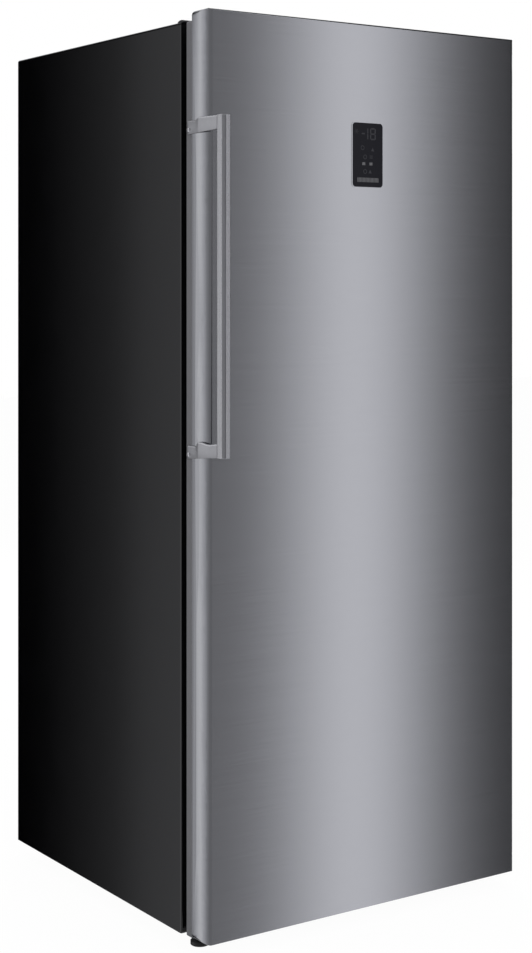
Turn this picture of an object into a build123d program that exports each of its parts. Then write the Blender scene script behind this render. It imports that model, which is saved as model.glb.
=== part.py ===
from build123d import *
from math import cos, radians, sin
import os

# Upright freezer with one door, hinged on the right. Millimetres.
# +X is to the right seen from the front, the front faces -Y and +Z is up. The origin is on the floor,
# in the middle of the width and of the whole depth, handle included.

# Cabinet
WIDTH = 710.0
CABINET_DEPTH = 637.0
CABINET_HEIGHT = 1592.0
FLOOR_CLEARANCE = 30.0
SHEET = 1.0
SHELL_RADIUS = 5.0
FLANGE = 50.0
BACK_INSET = 4.0
SIDE_WALL = 60.0
TOP_WALL = 65.0
FLOOR_WALL = 60.0
BACK_WALL = 70.0
LINER = 2.0
LINER_RADIUS = 20.0
PAN = 1.2

# Compressor compartment
COMPARTMENT_HEIGHT = 230.0
COMPARTMENT_DEPTH = 200.0
STEP_WALL = 60.0
DECK = 2.0
DECK_LIP = 20.0

# Door
SKIN_DEPTH = 45.0
BAND_DEPTH = 17.0
BAND_WIDTH = 22.0
BAND_RADIUS = 4.0
GASKET_GAP = 18.0
GASKET_INSET = 24.0
GASKET_WIDTH = 22.0
GASKET_DEPTH = 17.7
DOOR_RISE = 15.0
CORNER_ACROSS = 12.0
CORNER_BACK = 42.0
CORNER_RADIUS = 9.0
CAP = 2.0
DYKE_DEPTH = 50.0
DYKE_WIDTH = 24.0
DYKE_SIDE = 67.0
DYKE_TAPER = 4.0
DYKE_TOP_GAP = 80.5

# Handle
HANDLE_REACH = 49.0
BAR_WIDTH = 18.0
BAR_DEPTH = 15.6
BAR_DROP = 768.0
BAR_LENGTH = 582.0
BAR_INSET = 1.0
BAR_RADIUS = 1.5
GROOVE_SET = 1.2
GROOVE_WIDTH = 5.6
GROOVE_DEPTH = 3.0
STRAP = 2.5
STRAP_HEIGHT = 24.0
STRAP_BACK = 58.0
SCREW_BACK = 51.0

# Display
PANEL_WIDTH = 72.0
PANEL_HEIGHT = 118.0
PANEL_RADIUS = 7.5
PANEL_LEFT = 312.0
PANEL_DROP = 297.0
PANEL_PROUD = 0.4
HOUSING_MARGIN = 6.0
HOUSING_DEPTH = 20.0

# Hinges
HINGE_INSET = 18.0
HINGE_GAP = 1.5
HINGE_PLATE = 3.0
PIN_RADIUS = 4.5
PIN_LENGTH = 17.0
BUSH_RADIUS = 6.5
BUSH_LENGTH = 19.0
BUSH_FLANGE_RADIUS = 8.0
NOSE_RADIUS = 7.5
RUN = 0.05
CLEAR = 0.3

# Feet and rollers
FOOT_INSET = 45.0
FOOT_BACK = 10.0
PAD_RADIUS = 17.0
PAD_HEIGHT = 9.0
NECK_RADIUS = 9.0
NECK_TOP = 22.0
STUD_RADIUS = 5.0
STUD_TOP = 52.0
BOSS_RADIUS = 7.5
BOSS_HEIGHT = 28.0
ROLLER_RADIUS = 14.0
ROLLER_WIDTH = 18.0
ROLLER_SIDE = 55.0
TREAD = 2.0
ROLLER_BACK = 55.0
AXLE_RADIUS = 3.0
CHEEK = 2.0
CHEEK_GAP = 0.5

# Interior
SHELVES = 4
FIRST_SHELF_RISE = 495.0
TOP_SPACE = 252.0
SHELF_SET = 114.0
SHELF_DEPTH = 372.0
SHELF_THICKNESS = 14.0
SHELF_SIDE_GAP = 2.0
SHELF_RIM = 28.0
GLASS = 4.0
LEDGE = 10.0
EVAPORATOR_DEPTH = 75.0
EVAPORATOR_COVER_DROP = 857.0
EVAPORATOR_COVER_WALL = 2.5
EVAPORATOR_FAN_DROP = 377.0
DRAWER_SET = 66.0
DRAWER_SIDE = 20.0
DRAWER_WALL = 2.5
DRAWER_LIP = 15.0
DRAWER_DRAFT = 8.0
FASCIA = 3.0
FASCIA_RISE = 12.0
DRAWER_BACK_GAP = 13.0
LOWER_DRAWER_RISE = 8.0
UPPER_DRAWER_RISE = 15.0
DRAWER_HEIGHT = 200.0
RAIL_HEIGHT = 12.0
FIRST_BIN_RISE = 15.0
BIN_HEIGHT = 85.0
BIN_DEPTH = 105.0
BIN_WALL = 2.5
BIN_GAP = 0.3
BIN_DRAFT = 6.0
LEDGE_FACE = 6.0

# Small parts
TRIM_DEPTH = 21.0
TRIM_HEIGHT = 5.0
COVER_RISE = 13.0
COVER_WALL = 2.0
SCREW_HEAD = 4.5
SCREW_HEAD_HEIGHT = 2.4
SHANK_RADIUS = 2.0
STRAP_CORNER = 5.0
SCREW_RISE = 8.0
ARM_ROOT = 12.0
UPPER_DROP = 4.0
LOWER_DROP = 8.0
FIT = 0.2

# Hinge plates
PLATE_WIDTH = 70.0
PLATE_DEPTH = 56.0
TOP_PLATE_INSET = 38.0
TOP_PLATE_BACK = 6.0

# Refrigeration
COMPRESSOR_SIDE = 165.0
FEET_X = 150.0
FEET_Y = 100.0
GROMMET_RADIUS = 9.0
GROMMET_HEIGHT = 12.0
CAN_RADIUS = 65.0
CAN_HEIGHT = 150.0
TRAY_WIDTH = 190.0
TRAY_DEPTH = 150.0
TRAY_HEIGHT = 24.0
FIN = 1.2
FIN_SPINE = 10.0
TUBE_RADIUS = 4.0
TUBE_STUB = 4.0
CONDENSER_X = -60.0
CONDENSER_LENGTH = 120.0
CONDENSER_DEPTH = 44.0
CONDENSER_HEIGHT = 190.0
CONDENSER_FINS = 12
CONDENSER_ROWS = 5
CONDENSER_FAN_X = 20.0
CONDENSER_FAN_Z = 130.0
MOTOR_LENGTH = 40.0
EVAPORATOR_DROP = 767.0
EVAPORATOR_THICKNESS = 50.0
EVAPORATOR_LENGTH = 420.0
EVAPORATOR_HEIGHT = 200.0
EVAPORATOR_FINS = 16
EVAPORATOR_ROWS = 4
EVAPORATOR_FAN_SET = 24.0
CONDENSER_HUB = 20.0
CONDENSER_TIP = 68.0
CONDENSER_BLADE_DEPTH = 18.0
EVAPORATOR_HUB = 16.0
EVAPORATOR_TIP = 52.0
EVAPORATOR_BLADE_DEPTH = 14.0
CONDENSER_MOTOR_RADIUS = 24.0
EVAPORATOR_MOTOR_RADIUS = 18.0
MOTOR_STRIP = 30.0
STRIP_FOOT = 16.0
MOTOR_ARM = 70.0
MOTOR_ARM_RISE = 12.0
HUB_SINK = 2.0
SHAFT_RADIUS = 2.0
SHAFT_GRIP = 8.0
BLADE = 1.6
FAN_BLADES = 5
DRIER_X = -120.0
DRIER_SET = 14.0
DRIER_LOW = 100.0
DRIER_RADIUS = 9.0
DRIER_LENGTH = 110.0
DRIER_END = 10.0
DRIER_CONE = 12.0
DRIER_NECK = 4.0
CLIP = 10.0
LINE_RADIUS = 3.0
LINE_BEND = 12.0
LINE_OFFSET = 20.0
LINE_SET = 18.0
LINE_RISE = 70.0
LINE_SINK = 4.0
HEATER_LENGTH = 380.0
HEATER_DROP = 9.0
HEATER_HALF = 12.0
HEATER_CLIP = 8.0

# Rear cover
COVER_SHEET = 1.5
LAMP_WIDTH = 120.0
LAMP_DEPTH = 70.0
LAMP_HEIGHT = 9.0
LAMP_EDGE = 3.0
GRIP_WIDTH = 140.0
GRIP_HEIGHT = 26.0
GRIP_DROP = 24.0
CONTROL_WIDTH = 55.0
CONTROL_DEPTH = 120.0
CONTROL_HEIGHT = 70.0
CONTROL_BEVEL = 4.0
LOUVRE = 120.0
LOUVRE_SLOT = 4.0
LOUVRE_PITCH = 18.0
LOUVRE_GAP = 30.0
LOUVRE_COLUMNS = 4
LOUVRE_ROWS = 9
HOOD = 2.5
GLAND_SIDE = 55.0
GLAND_RIM = 3.0
GLAND_LENGTH = 8.0
COVER_EDGE = 14.0
GLAND_Z = 58.0
GLAND_RADIUS = 9.0
GLAND_BORE = 4.5

# Places worked out from the sizes above
depth = HANDLE_REACH + SKIN_DEPTH + BAND_DEPTH + GASKET_GAP + CABINET_DEPTH
half = WIDTH / 2
door_front = -depth / 2 + HANDLE_REACH
skin_back = door_front + SKIN_DEPTH
door_back = skin_back + BAND_DEPTH
cabinet_front = door_back + GASKET_GAP
cabinet_back = cabinet_front + CABINET_DEPTH
cabinet_bottom = FLOOR_CLEARANCE
cabinet_top = cabinet_bottom + CABINET_HEIGHT
door_bottom = cabinet_bottom + HINGE_GAP
band_top = cabinet_top - HINGE_GAP
door_top = cabinet_top + DOOR_RISE
inner_half = half - SHEET
panel_back = cabinet_back - BACK_INSET
foam_back = panel_back - SHEET
cavity_half = half - SIDE_WALL
cavity_bottom = cabinet_bottom + FLOOR_WALL
cavity_top = cabinet_top - TOP_WALL
cavity_back = cabinet_back - BACK_WALL
compartment_front = cabinet_back - COMPARTMENT_DEPTH
compartment_top = cabinet_bottom + COMPARTMENT_HEIGHT
hump_front = compartment_front - STEP_WALL
hump_top = compartment_top + STEP_WALL
deck_top = cabinet_bottom + DECK
dyke_outer = half - DYKE_SIDE
dyke_bottom = cavity_bottom + FIRST_SHELF_RISE
dyke_top = band_top - DYKE_TOP_GAP
drawer_half = cavity_half - DRAWER_SIDE
lower_drawer_bottom = cavity_bottom + LOWER_DRAWER_RISE
upper_drawer_bottom = hump_top + UPPER_DRAWER_RISE
lower_drawer_back = hump_front - DRAWER_BACK_GAP
upper_drawer_back = cavity_back - DRAWER_BACK_GAP
top_shelf = cavity_top - TOP_SPACE
first_shelf = cavity_bottom + FIRST_SHELF_RISE
first_bin = dyke_bottom + FIRST_BIN_RISE
shelf_front = cabinet_front + SHELF_SET
drawer_front = cabinet_front + DRAWER_SET
shelf_heights = [first_shelf + n * (top_shelf - first_shelf) / (SHELVES - 1) for n in range(SHELVES)]
bin_bottoms = [first_bin + n * (top_shelf - first_bin) / (SHELVES - 1) for n in range(SHELVES)]
compressor_x = half - COMPRESSOR_SIDE
evaporator_bottom = cavity_top - EVAPORATOR_DROP
evaporator_cover_bottom = cavity_top - EVAPORATOR_COVER_DROP
evaporator_fan_z = cavity_top - EVAPORATOR_FAN_DROP
hinge_x = half - HINGE_INSET
hinge_y = skin_back + BAND_DEPTH / 2
foot_x = half - FOOT_INSET
foot_y = cabinet_front + FOOT_BACK
bar_left = -half + BAR_INSET
bar_bottom = door_top - BAR_DROP
bar_top = bar_bottom + BAR_LENGTH
bar_front = door_front - HANDLE_REACH
corner_y = door_front + CORNER_BACK
panel_x = -half + PANEL_LEFT + PANEL_WIDTH / 2
panel_z = door_top - PANEL_DROP + PANEL_HEIGHT / 2
housing_half = PANEL_WIDTH / 2 + HOUSING_MARGIN
housing_rise = PANEL_HEIGHT / 2 + HOUSING_MARGIN
plate_front = cabinet_front + TOP_PLATE_BACK
plate_right = hinge_x - TOP_PLATE_INSET
cover_left = plate_right - PLATE_WIDTH - 2 * COVER_WALL
top_screw_places = (
    (plate_right - 0.8 * PLATE_WIDTH, plate_front + 0.25 * PLATE_DEPTH),
    (plate_right - 0.2 * PLATE_WIDTH, plate_front + 0.25 * PLATE_DEPTH),
    (plate_right - 0.5 * PLATE_WIDTH, plate_front + 0.75 * PLATE_DEPTH),
)
low_plate_front = foot_y - 2 * NOSE_RADIUS
bottom_screw_places = (
    (foot_x - 38, low_plate_front + 0.3 * PLATE_DEPTH),
    (foot_x - 30, low_plate_front + 0.85 * PLATE_DEPTH),
    (foot_x + 5, low_plate_front + 0.85 * PLATE_DEPTH),
)
roller_x = half - ROLLER_SIDE
roller_y = cabinet_back - ROLLER_BACK
compressor_y = compartment_front + COMPARTMENT_DEPTH / 2
evaporator_front = cavity_back - EVAPORATOR_DEPTH
evaporator_fan_y = evaporator_front + EVAPORATOR_FAN_SET
drier_y = compartment_front + DRIER_SET
drier_high = DRIER_LOW + DRIER_LENGTH
gland_x = GLAND_SIDE - half
cover_screw_places = [
    (x, z)
    for x in (COVER_EDGE - inner_half, 0, inner_half - COVER_EDGE)
    for z in (deck_top + COVER_EDGE, compartment_top - COVER_EDGE)
]


def facing(y):
    """A sketch plane at depth y seen from the front: its Y is up, and extruding from it comes forward."""
    return Plane.XZ.offset(-y)


def from_side(x):
    """A sketch plane at x seen from the right: its X runs back, its Y is up, and extruding goes right."""
    return Plane.YZ.offset(x)


def block(x, y, z, mode=Mode.ADD):
    """A rectangular block between the (low, high) pairs x, y and z."""
    with BuildSketch(Plane.XY.offset(z[0]), mode=Mode.PRIVATE) as outline:
        with Locations(((x[0] + x[1]) / 2, (y[0] + y[1]) / 2)):
            Rectangle(x[1] - x[0], y[1] - y[0])
    extrude(outline.sketch, amount=z[1] - z[0], mode=mode)


def plug(x, y, radius, z, mode=Mode.ADD):
    """An upright cylinder at x, y between the heights (low, high) in z."""
    with Locations((x, y, z[0])):
        Cylinder(radius, z[1] - z[0], align=(Align.CENTER, Align.CENTER, Align.MIN), mode=mode)


def frame_outline(half_width, low, high, radius=0.0, mode=Mode.ADD):
    """An upright rectangle about x = 0 between two heights, in a sketch that faces the front."""
    with Locations((0, (low + high) / 2)):
        if radius:
            RectangleRounded(2 * half_width, high - low, radius, mode=mode)
        else:
            Rectangle(2 * half_width, high - low, mode=mode)


# ---------------------------------------------------------------- cabinet

with BuildPart() as cabinet_shell:
    # Sides and top are one sheet, folded over, with a flange turned in round the front.
    with BuildSketch(facing(cabinet_back)) as wrap:
        frame_outline(half, cabinet_bottom, cabinet_top)
        fillet(wrap.vertices().group_by(Axis.Y)[-1], SHELL_RADIUS)
        with BuildSketch(mode=Mode.SUBTRACT) as inside:
            frame_outline(inner_half, cabinet_bottom, cabinet_top - SHEET)
            fillet(inside.vertices().group_by(Axis.Y)[-1], SHELL_RADIUS - SHEET)
    extrude(amount=CABINET_DEPTH)
    with BuildSketch(facing(cabinet_front + SHEET)):
        frame_outline(inner_half, cabinet_bottom, cabinet_top - SHEET)
        frame_outline(half - FLANGE, cabinet_bottom + FLANGE, cabinet_top - FLANGE, mode=Mode.SUBTRACT)
    extrude(amount=SHEET)

with BuildPart() as back_panel:
    with BuildSketch(facing(panel_back)) as back_outline:
        frame_outline(inner_half, compartment_top, cabinet_top - SHEET)
        fillet(back_outline.vertices().group_by(Axis.Y)[-1], SHELL_RADIUS - SHEET)
    extrude(amount=SHEET)

with BuildPart() as base_pan:
    # One sheet runs back under the cabinet, up the compressor compartment's wall and over its roof.
    with BuildSketch(from_side(-inner_half)):
        with BuildLine():
            Polyline(
                (cabinet_front + SHEET, cabinet_bottom),
                (compartment_front, cabinet_bottom),
                (compartment_front, compartment_top),
                (foam_back, compartment_top),
                (foam_back, compartment_top + PAN),
                (compartment_front - PAN, compartment_top + PAN),
                (compartment_front - PAN, cabinet_bottom + PAN),
                (cabinet_front + SHEET, cabinet_bottom + PAN),
                close=True,
            )
        make_face()
    extrude(amount=2 * inner_half)
    for x in (-foot_x, foot_x):
        plug(x, foot_y, BOSS_RADIUS, (cabinet_bottom, cabinet_bottom + BOSS_HEIGHT))
        plug(x, foot_y, STUD_RADIUS + RUN, (cabinet_bottom, cabinet_bottom + BOSS_HEIGHT), Mode.SUBTRACT)


def cavity(grow, mode=Mode.ADD):
    """The food space as a solid with its step over the compressor, grown by a wall on all but the front."""
    with BuildSketch(from_side(-cavity_half - grow), mode=Mode.PRIVATE) as side:
        Polygon(
            (cabinet_front, cavity_bottom - grow),
            (hump_front + grow, cavity_bottom - grow),
            (hump_front + grow, hump_top - grow),
            (cavity_back + grow, hump_top - grow),
            (cavity_back + grow, cavity_top + grow),
            (cabinet_front, cavity_top + grow),
            align=None,
        )
        fillet(side.vertices().filter_by(lambda v: v.X > cabinet_front + 1), LINER_RADIUS)
    extrude(side.sketch, amount=2 * (cavity_half + grow), mode=mode)


with BuildPart() as inner_liner:
    # Vacuum-formed tub with a lip round its mouth and tapered ledges that carry the shelves.
    cavity(LINER)
    with BuildSketch(facing(cabinet_front + SHEET)):
        frame_outline(half - FLANGE, cabinet_bottom + FLANGE, cabinet_top - FLANGE)
    extrude(amount=SHEET)
    cavity(0, Mode.SUBTRACT)
    with BuildSketch(facing(shelf_front + SHELF_DEPTH)):
        for side in (-1, 1):
            for z in shelf_heights:
                Polygon(
                    (side * cavity_half, z),
                    (side * (cavity_half - LEDGE), z),
                    (side * (cavity_half - LEDGE), z - LEDGE_FACE),
                    (side * cavity_half, z - LEDGE_FACE - LEDGE),
                    align=None,
                )
    extrude(amount=SHELF_DEPTH)

with BuildPart() as cabinet_foam:
    with BuildSketch(from_side(-inner_half)):
        Polygon(
            (cabinet_front + SHEET, cabinet_bottom + PAN),
            (compartment_front - PAN, cabinet_bottom + PAN),
            (compartment_front - PAN, compartment_top + PAN),
            (foam_back, compartment_top + PAN),
            (foam_back, cabinet_top - SHEET),
            (cabinet_front + SHEET, cabinet_top - SHEET),
            align=None,
        )
    extrude(amount=2 * inner_half)
    top_corners = cabinet_foam.edges().filter_by(Axis.Y).group_by(Axis.Z)[-1]
    fillet(top_corners, SHELL_RADIUS - SHEET)
    cavity(LINER, Mode.SUBTRACT)
    for x in (-foot_x, foot_x):
        plug(x, foot_y, BOSS_RADIUS, (cabinet_bottom, cabinet_bottom + BOSS_HEIGHT), Mode.SUBTRACT)

with BuildPart() as front_top_trim:
    with BuildSketch(from_side(-half + SHELL_RADIUS)):
        with BuildLine():
            low = Line((cabinet_front, cabinet_top), (cabinet_front + TRIM_DEPTH, cabinet_top))
            back = Line(low @ 1, (cabinet_front + TRIM_DEPTH, cabinet_top + TRIM_HEIGHT / 3))
            crown_middle = (cabinet_front + TRIM_DEPTH / 2, cabinet_top + TRIM_HEIGHT)
            crown = ThreePointArc(back @ 1, crown_middle, (cabinet_front, cabinet_top + TRIM_HEIGHT / 2))
            Line(crown @ 1, low @ 0)
        make_face()
    extrude(amount=cover_left - 1 + half - SHELL_RADIUS)

# ---------------------------------------------------------------- door


def door_shape(inset):
    """The door's front shell as a solid inset on every side but the back: in plan its vertical corners
    are long quarter ellipses, and seen from the front its corners are rounded."""
    side = half - inset
    corner = door_front + inset + CORNER_BACK
    with BuildPart(mode=Mode.PRIVATE) as shape:
        with BuildSketch(Plane.XY.offset(door_bottom + inset)):
            with BuildLine():
                left = Line((-side, skin_back), (-side, corner))
                turn = EllipticalCenterArc(
                    (-side + CORNER_ACROSS, corner), CORNER_ACROSS, CORNER_BACK, start_angle=180, arc_size=90
                )
                face = Line(turn @ 1, (side - CORNER_ACROSS, corner - CORNER_BACK))
                turn_back = EllipticalCenterArc(
                    (side - CORNER_ACROSS, corner), CORNER_ACROSS, CORNER_BACK, start_angle=270, arc_size=90
                )
                right = Line(turn_back @ 1, (side, skin_back))
                Line(right @ 1, left @ 0)
            make_face()
        extrude(amount=door_top - door_bottom - 2 * inset)
        with BuildSketch(facing(skin_back)):
            frame_outline(side, door_bottom + inset, door_top - inset, CORNER_RADIUS - inset)
        extrude(amount=SKIN_DEPTH, mode=Mode.INTERSECT)
    return shape.part


outer_shell = door_shape(0)
inner_shell = door_shape(SHEET)

with BuildPart() as door_skin:
    # A pressed steel pan, open at the back, with the display's window cut through it.
    add(outer_shell)
    add(inner_shell, mode=Mode.SUBTRACT)
    with BuildSketch(facing(door_front + 2 * SHEET)):
        with Locations((panel_x, panel_z)):
            RectangleRounded(PANEL_WIDTH, PANEL_HEIGHT, PANEL_RADIUS)
    extrude(amount=4 * SHEET, mode=Mode.SUBTRACT)

with BuildPart() as door_frame:
    # The moulded band behind the skin holds the liner, the gasket and both hinge bushes.
    with BuildSketch(facing(door_back)):
        frame_outline(half, door_bottom, band_top, BAND_RADIUS)
        frame_outline(half - BAND_WIDTH, door_bottom + BAND_WIDTH, band_top - BAND_WIDTH, mode=Mode.SUBTRACT)
    extrude(amount=BAND_DEPTH)
    plug(hinge_x, hinge_y, BUSH_RADIUS, (band_top - BUSH_LENGTH, band_top), Mode.SUBTRACT)
    plug(hinge_x, hinge_y, BUSH_RADIUS, (door_bottom, door_bottom + BUSH_LENGTH), Mode.SUBTRACT)

with BuildPart() as hinge_bushes:
    for foot, head in ((band_top - BUSH_LENGTH, band_top), (door_bottom + BUSH_LENGTH, door_bottom)):
        outward = 1 if head > foot else -1
        rim = head + outward * (HINGE_GAP - CLEAR)
        plug(hinge_x, hinge_y, BUSH_RADIUS, (min(foot, head), max(foot, head)))
        plug(hinge_x, hinge_y, BUSH_FLANGE_RADIUS, (min(head, rim), max(head, rim)))
        plug(hinge_x, hinge_y, PIN_RADIUS + RUN, (min(foot, rim), max(foot, rim)), Mode.SUBTRACT)

with BuildPart() as door_top_cap:
    with BuildSketch(facing(skin_back)) as closing:
        frame_outline(half - SHEET, band_top, door_top - SHEET)
        fillet(closing.vertices().group_by(Axis.Y)[-1], CORNER_RADIUS - SHEET)
    extrude(amount=CAP)


def dykes(inset, mode=Mode.ADD):
    """The two upright ridges of the door liner that carry the bins, tapered towards the food space."""
    for side in (-1, 1):
        middle = side * (dyke_outer - DYKE_WIDTH / 2)
        base = DYKE_WIDTH - 2 * inset
        height = dyke_top - dyke_bottom - 2 * inset
        centre = (middle, (dyke_bottom + dyke_top) / 2)
        with BuildSketch(facing(door_back - LINER), mode=Mode.PRIVATE) as root:
            with Locations(centre):
                Rectangle(base, height)
        with BuildSketch(facing(door_back + DYKE_DEPTH - inset), mode=Mode.PRIVATE) as crest:
            with Locations(centre):
                Rectangle(base - 2 * DYKE_TAPER, height - 2 * DYKE_TAPER)
        loft([root.sketch, crest.sketch], mode=mode)


with BuildPart() as door_liner:
    block(
        (-half + BAND_WIDTH, half - BAND_WIDTH),
        (door_back - LINER, door_back),
        (door_bottom + BAND_WIDTH, band_top - BAND_WIDTH),
    )
    dykes(0)
    dykes(LINER, Mode.SUBTRACT)

with BuildPart() as door_foam:
    add(inner_shell)
    block(
        (-inner_half, inner_half),
        (skin_back - CAP, skin_back),
        (band_top, door_top),
        Mode.SUBTRACT,
    )
    block(
        (-half + BAND_WIDTH, half - BAND_WIDTH),
        (skin_back - CAP, door_back - LINER),
        (door_bottom + BAND_WIDTH, band_top - BAND_WIDTH),
    )
    dykes(LINER)
    block(
        (panel_x - housing_half, panel_x + housing_half),
        (door_front + SHEET, door_front + SHEET + HOUSING_DEPTH),
        (panel_z - housing_rise, panel_z + housing_rise),
        Mode.SUBTRACT,
    )

with BuildPart() as door_gasket:
    # Base flange, pinched bellows and magnet head, mitred at the four corners.
    with BuildLine(facing(door_back)):
        seal_x = half - GASKET_INSET - GASKET_WIDTH / 2
        seal_low = cabinet_bottom + GASKET_INSET + GASKET_WIDTH / 2
        seal_high = cabinet_top - GASKET_INSET - GASKET_WIDTH / 2
        seal_path = Polyline(
            (-seal_x, seal_low), (seal_x, seal_low), (seal_x, seal_high), (-seal_x, seal_high), close=True
        )
    with BuildSketch(Plane(origin=(-seal_x, door_back, seal_low), x_dir=(0, 0, 1), z_dir=(1, 0, 0))) as section:
        wide = GASKET_WIDTH / 2
        deep = GASKET_DEPTH
        right_side = (
            (wide, 0),
            (wide, 0.15 * deep),
            (0.35 * wide, 0.25 * deep),
            (0.7 * wide, 0.45 * deep),
            (0.35 * wide, 0.6 * deep),
            (0.85 * wide, 0.7 * deep),
            (0.85 * wide, deep),
        )
        left_side = [(-across, out) for across, out in reversed(right_side)]
        Polygon(*[(across, -out) for across, out in (*right_side, *left_side)], align=None)
    sweep(path=seal_path, transition=Transition.RIGHT)

with BuildPart() as display_housing:
    block(
        (panel_x - housing_half, panel_x + housing_half),
        (door_front + SHEET, door_front + SHEET + HOUSING_DEPTH),
        (panel_z - housing_rise, panel_z + housing_rise),
    )

with BuildPart() as display_panel:
    with BuildSketch(facing(door_front + SHEET)):
        with Locations((panel_x, panel_z)):
            RectangleRounded(PANEL_WIDTH - 2 * FIT, PANEL_HEIGHT - 2 * FIT, PANEL_RADIUS - FIT)
    extrude(amount=SHEET + PANEL_PROUD)

# ---------------------------------------------------------------- handle

with BuildPart() as handle_bar:
    with BuildSketch(Plane.XY.offset(bar_bottom)) as bar_section:
        with Locations((bar_left + BAR_WIDTH / 2, bar_front + BAR_DEPTH / 2)):
            RectangleRounded(BAR_WIDTH, BAR_DEPTH, BAR_RADIUS)
        with Locations((bar_left + GROOVE_SET + GROOVE_WIDTH / 2, bar_front)):
            Rectangle(GROOVE_WIDTH, 2 * GROOVE_DEPTH, mode=Mode.SUBTRACT)
    extrude(amount=BAR_LENGTH)


def handle_bracket(arm_bottom, drop):
    """A cast strap: a pad on the door's side, set lower by drop, and an arm that passes round the corner
    to the back of the bar."""
    arm_end = bar_front + BAR_DEPTH
    with BuildPart(mode=Mode.PRIVATE) as bracket:
        with BuildSketch(Plane.XY.offset(arm_bottom)):
            Polygon(
                (-half - STRAP, corner_y),
                (-half - STRAP, door_front + CORNER_BACK / 2),
                (bar_left, arm_end),
                (bar_left + ARM_ROOT, arm_end),
                (-half + STRAP, door_front - STRAP),
                (-half, door_front + CORNER_BACK / 3),
                (-half, corner_y),
                align=None,
            )
        extrude(amount=STRAP_HEIGHT)
        block(
            (-half - STRAP, -half),
            (door_front + CORNER_BACK / 2, door_front + STRAP_BACK),
            (arm_bottom - drop, arm_bottom - drop + STRAP_HEIGHT),
        )
        pad_back = bracket.edges().filter_by(Axis.X).group_by(Axis.Y)[-1]
        fillet(pad_back, STRAP_CORNER)
        seat = (-half - STRAP, door_front + SCREW_BACK, arm_bottom - drop + SCREW_RISE)
        with Locations(Plane(seat, z_dir=(-1, 0, 0))):
            Hole(SHANK_RADIUS, depth=STRAP)
    return bracket


handle_bracket_upper = handle_bracket(bar_top - STRAP_HEIGHT, UPPER_DROP)
handle_bracket_lower = handle_bracket(bar_bottom, LOWER_DROP)


def screw(plane, head_radius, head_height, shank_radius, grip):
    """A pan-head screw whose head stands on the plane, with its shank through the piece that it clamps."""
    with BuildSketch(plane, mode=Mode.PRIVATE) as head:
        Circle(head_radius)
    extrude(head.sketch, amount=head_height)
    with BuildSketch(plane, mode=Mode.PRIVATE) as shank:
        Circle(shank_radius)
    extrude(shank.sketch, amount=-grip)


with BuildPart() as handle_screws:
    for z in (bar_top - STRAP_HEIGHT - UPPER_DROP + SCREW_RISE, bar_bottom - LOWER_DROP + SCREW_RISE):
        seat = Plane((-half - STRAP, door_front + SCREW_BACK, z), z_dir=(-1, 0, 0))
        screw(seat, SCREW_HEAD, SCREW_HEAD_HEIGHT, SHANK_RADIUS, STRAP)

# ---------------------------------------------------------------- hinges

with BuildPart() as top_hinge:
    # A plate on the cabinet's top whose nose reaches over the door's band, with the pin riveted in it.
    with BuildSketch(Plane.XY.offset(cabinet_top)) as nose_and_plate:
        with Locations((hinge_x, hinge_y)):
            Circle(NOSE_RADIUS)
        with Locations((hinge_x - TOP_PLATE_INSET - PLATE_WIDTH / 2, plate_front + PLATE_DEPTH / 2)):
            Rectangle(PLATE_WIDTH, PLATE_DEPTH)
        make_hull()
    extrude(amount=HINGE_PLATE)
    plug(hinge_x, hinge_y, PIN_RADIUS, (cabinet_top - PIN_LENGTH, cabinet_top))
    for x, y in top_screw_places:
        plug(x, y, SHANK_RADIUS, (cabinet_top, cabinet_top + HINGE_PLATE), Mode.SUBTRACT)

with BuildPart() as bottom_hinge:
    # A plate under the cabinet; the right foot's stud passes through it and its pin stands up in the door.
    with BuildSketch(Plane.XY.offset(cabinet_bottom - HINGE_PLATE)):
        with Locations((hinge_x, hinge_y)):
            Circle(BUSH_FLANGE_RADIUS)
        with Locations((foot_x - PLATE_WIDTH / 2 + PAD_RADIUS, low_plate_front + PLATE_DEPTH / 2)):
            Rectangle(PLATE_WIDTH, PLATE_DEPTH)
        make_hull()
        with Locations((foot_x, foot_y)):
            Circle(STUD_RADIUS + 1, mode=Mode.SUBTRACT)
    extrude(amount=HINGE_PLATE)
    plug(hinge_x, hinge_y, PIN_RADIUS, (cabinet_bottom, cabinet_bottom + PIN_LENGTH))
    for x, y in bottom_screw_places:
        plug(x, y, SHANK_RADIUS, (cabinet_bottom - HINGE_PLATE, cabinet_bottom), Mode.SUBTRACT)

with BuildPart() as hinge_screws:
    for x, y in top_screw_places:
        seat = Plane((x, y, cabinet_top + HINGE_PLATE), z_dir=(0, 0, 1))
        screw(seat, SCREW_HEAD, SCREW_HEAD_HEIGHT, SHANK_RADIUS, HINGE_PLATE)
    for x, y in bottom_screw_places:
        seat = Plane((x, y, cabinet_bottom - HINGE_PLATE), z_dir=(0, 0, -1))
        screw(seat, SCREW_HEAD, SCREW_HEAD_HEIGHT, SHANK_RADIUS, HINGE_PLATE)

with BuildPart() as top_hinge_cover:
    cover_x = (cover_left, hinge_x - COVER_WALL)
    cover_y = (plate_front - 2 * COVER_WALL, plate_front + PLATE_DEPTH + 2 * COVER_WALL)
    block(cover_x, cover_y, (cabinet_top, cabinet_top + COVER_RISE))
    upper_edges = top_hinge_cover.edges().filter_by(lambda e: e.center().Z > cabinet_top + 0.2 * COVER_RISE)
    fillet(upper_edges, COVER_WALL)
    block(
        (cover_x[0] + COVER_WALL, cover_x[1] - COVER_WALL),
        (cover_y[0] + COVER_WALL, cover_y[1] - COVER_WALL),
        (cabinet_top, cabinet_top + COVER_RISE - COVER_WALL),
        Mode.SUBTRACT,
    )
    block(
        (cover_x[0] + 3 * COVER_WALL, cover_x[1]),
        (cover_y[0], cover_y[0] + COVER_WALL),
        (cabinet_top, cabinet_top + HINGE_PLATE + CLEAR),
        Mode.SUBTRACT,
    )

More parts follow.
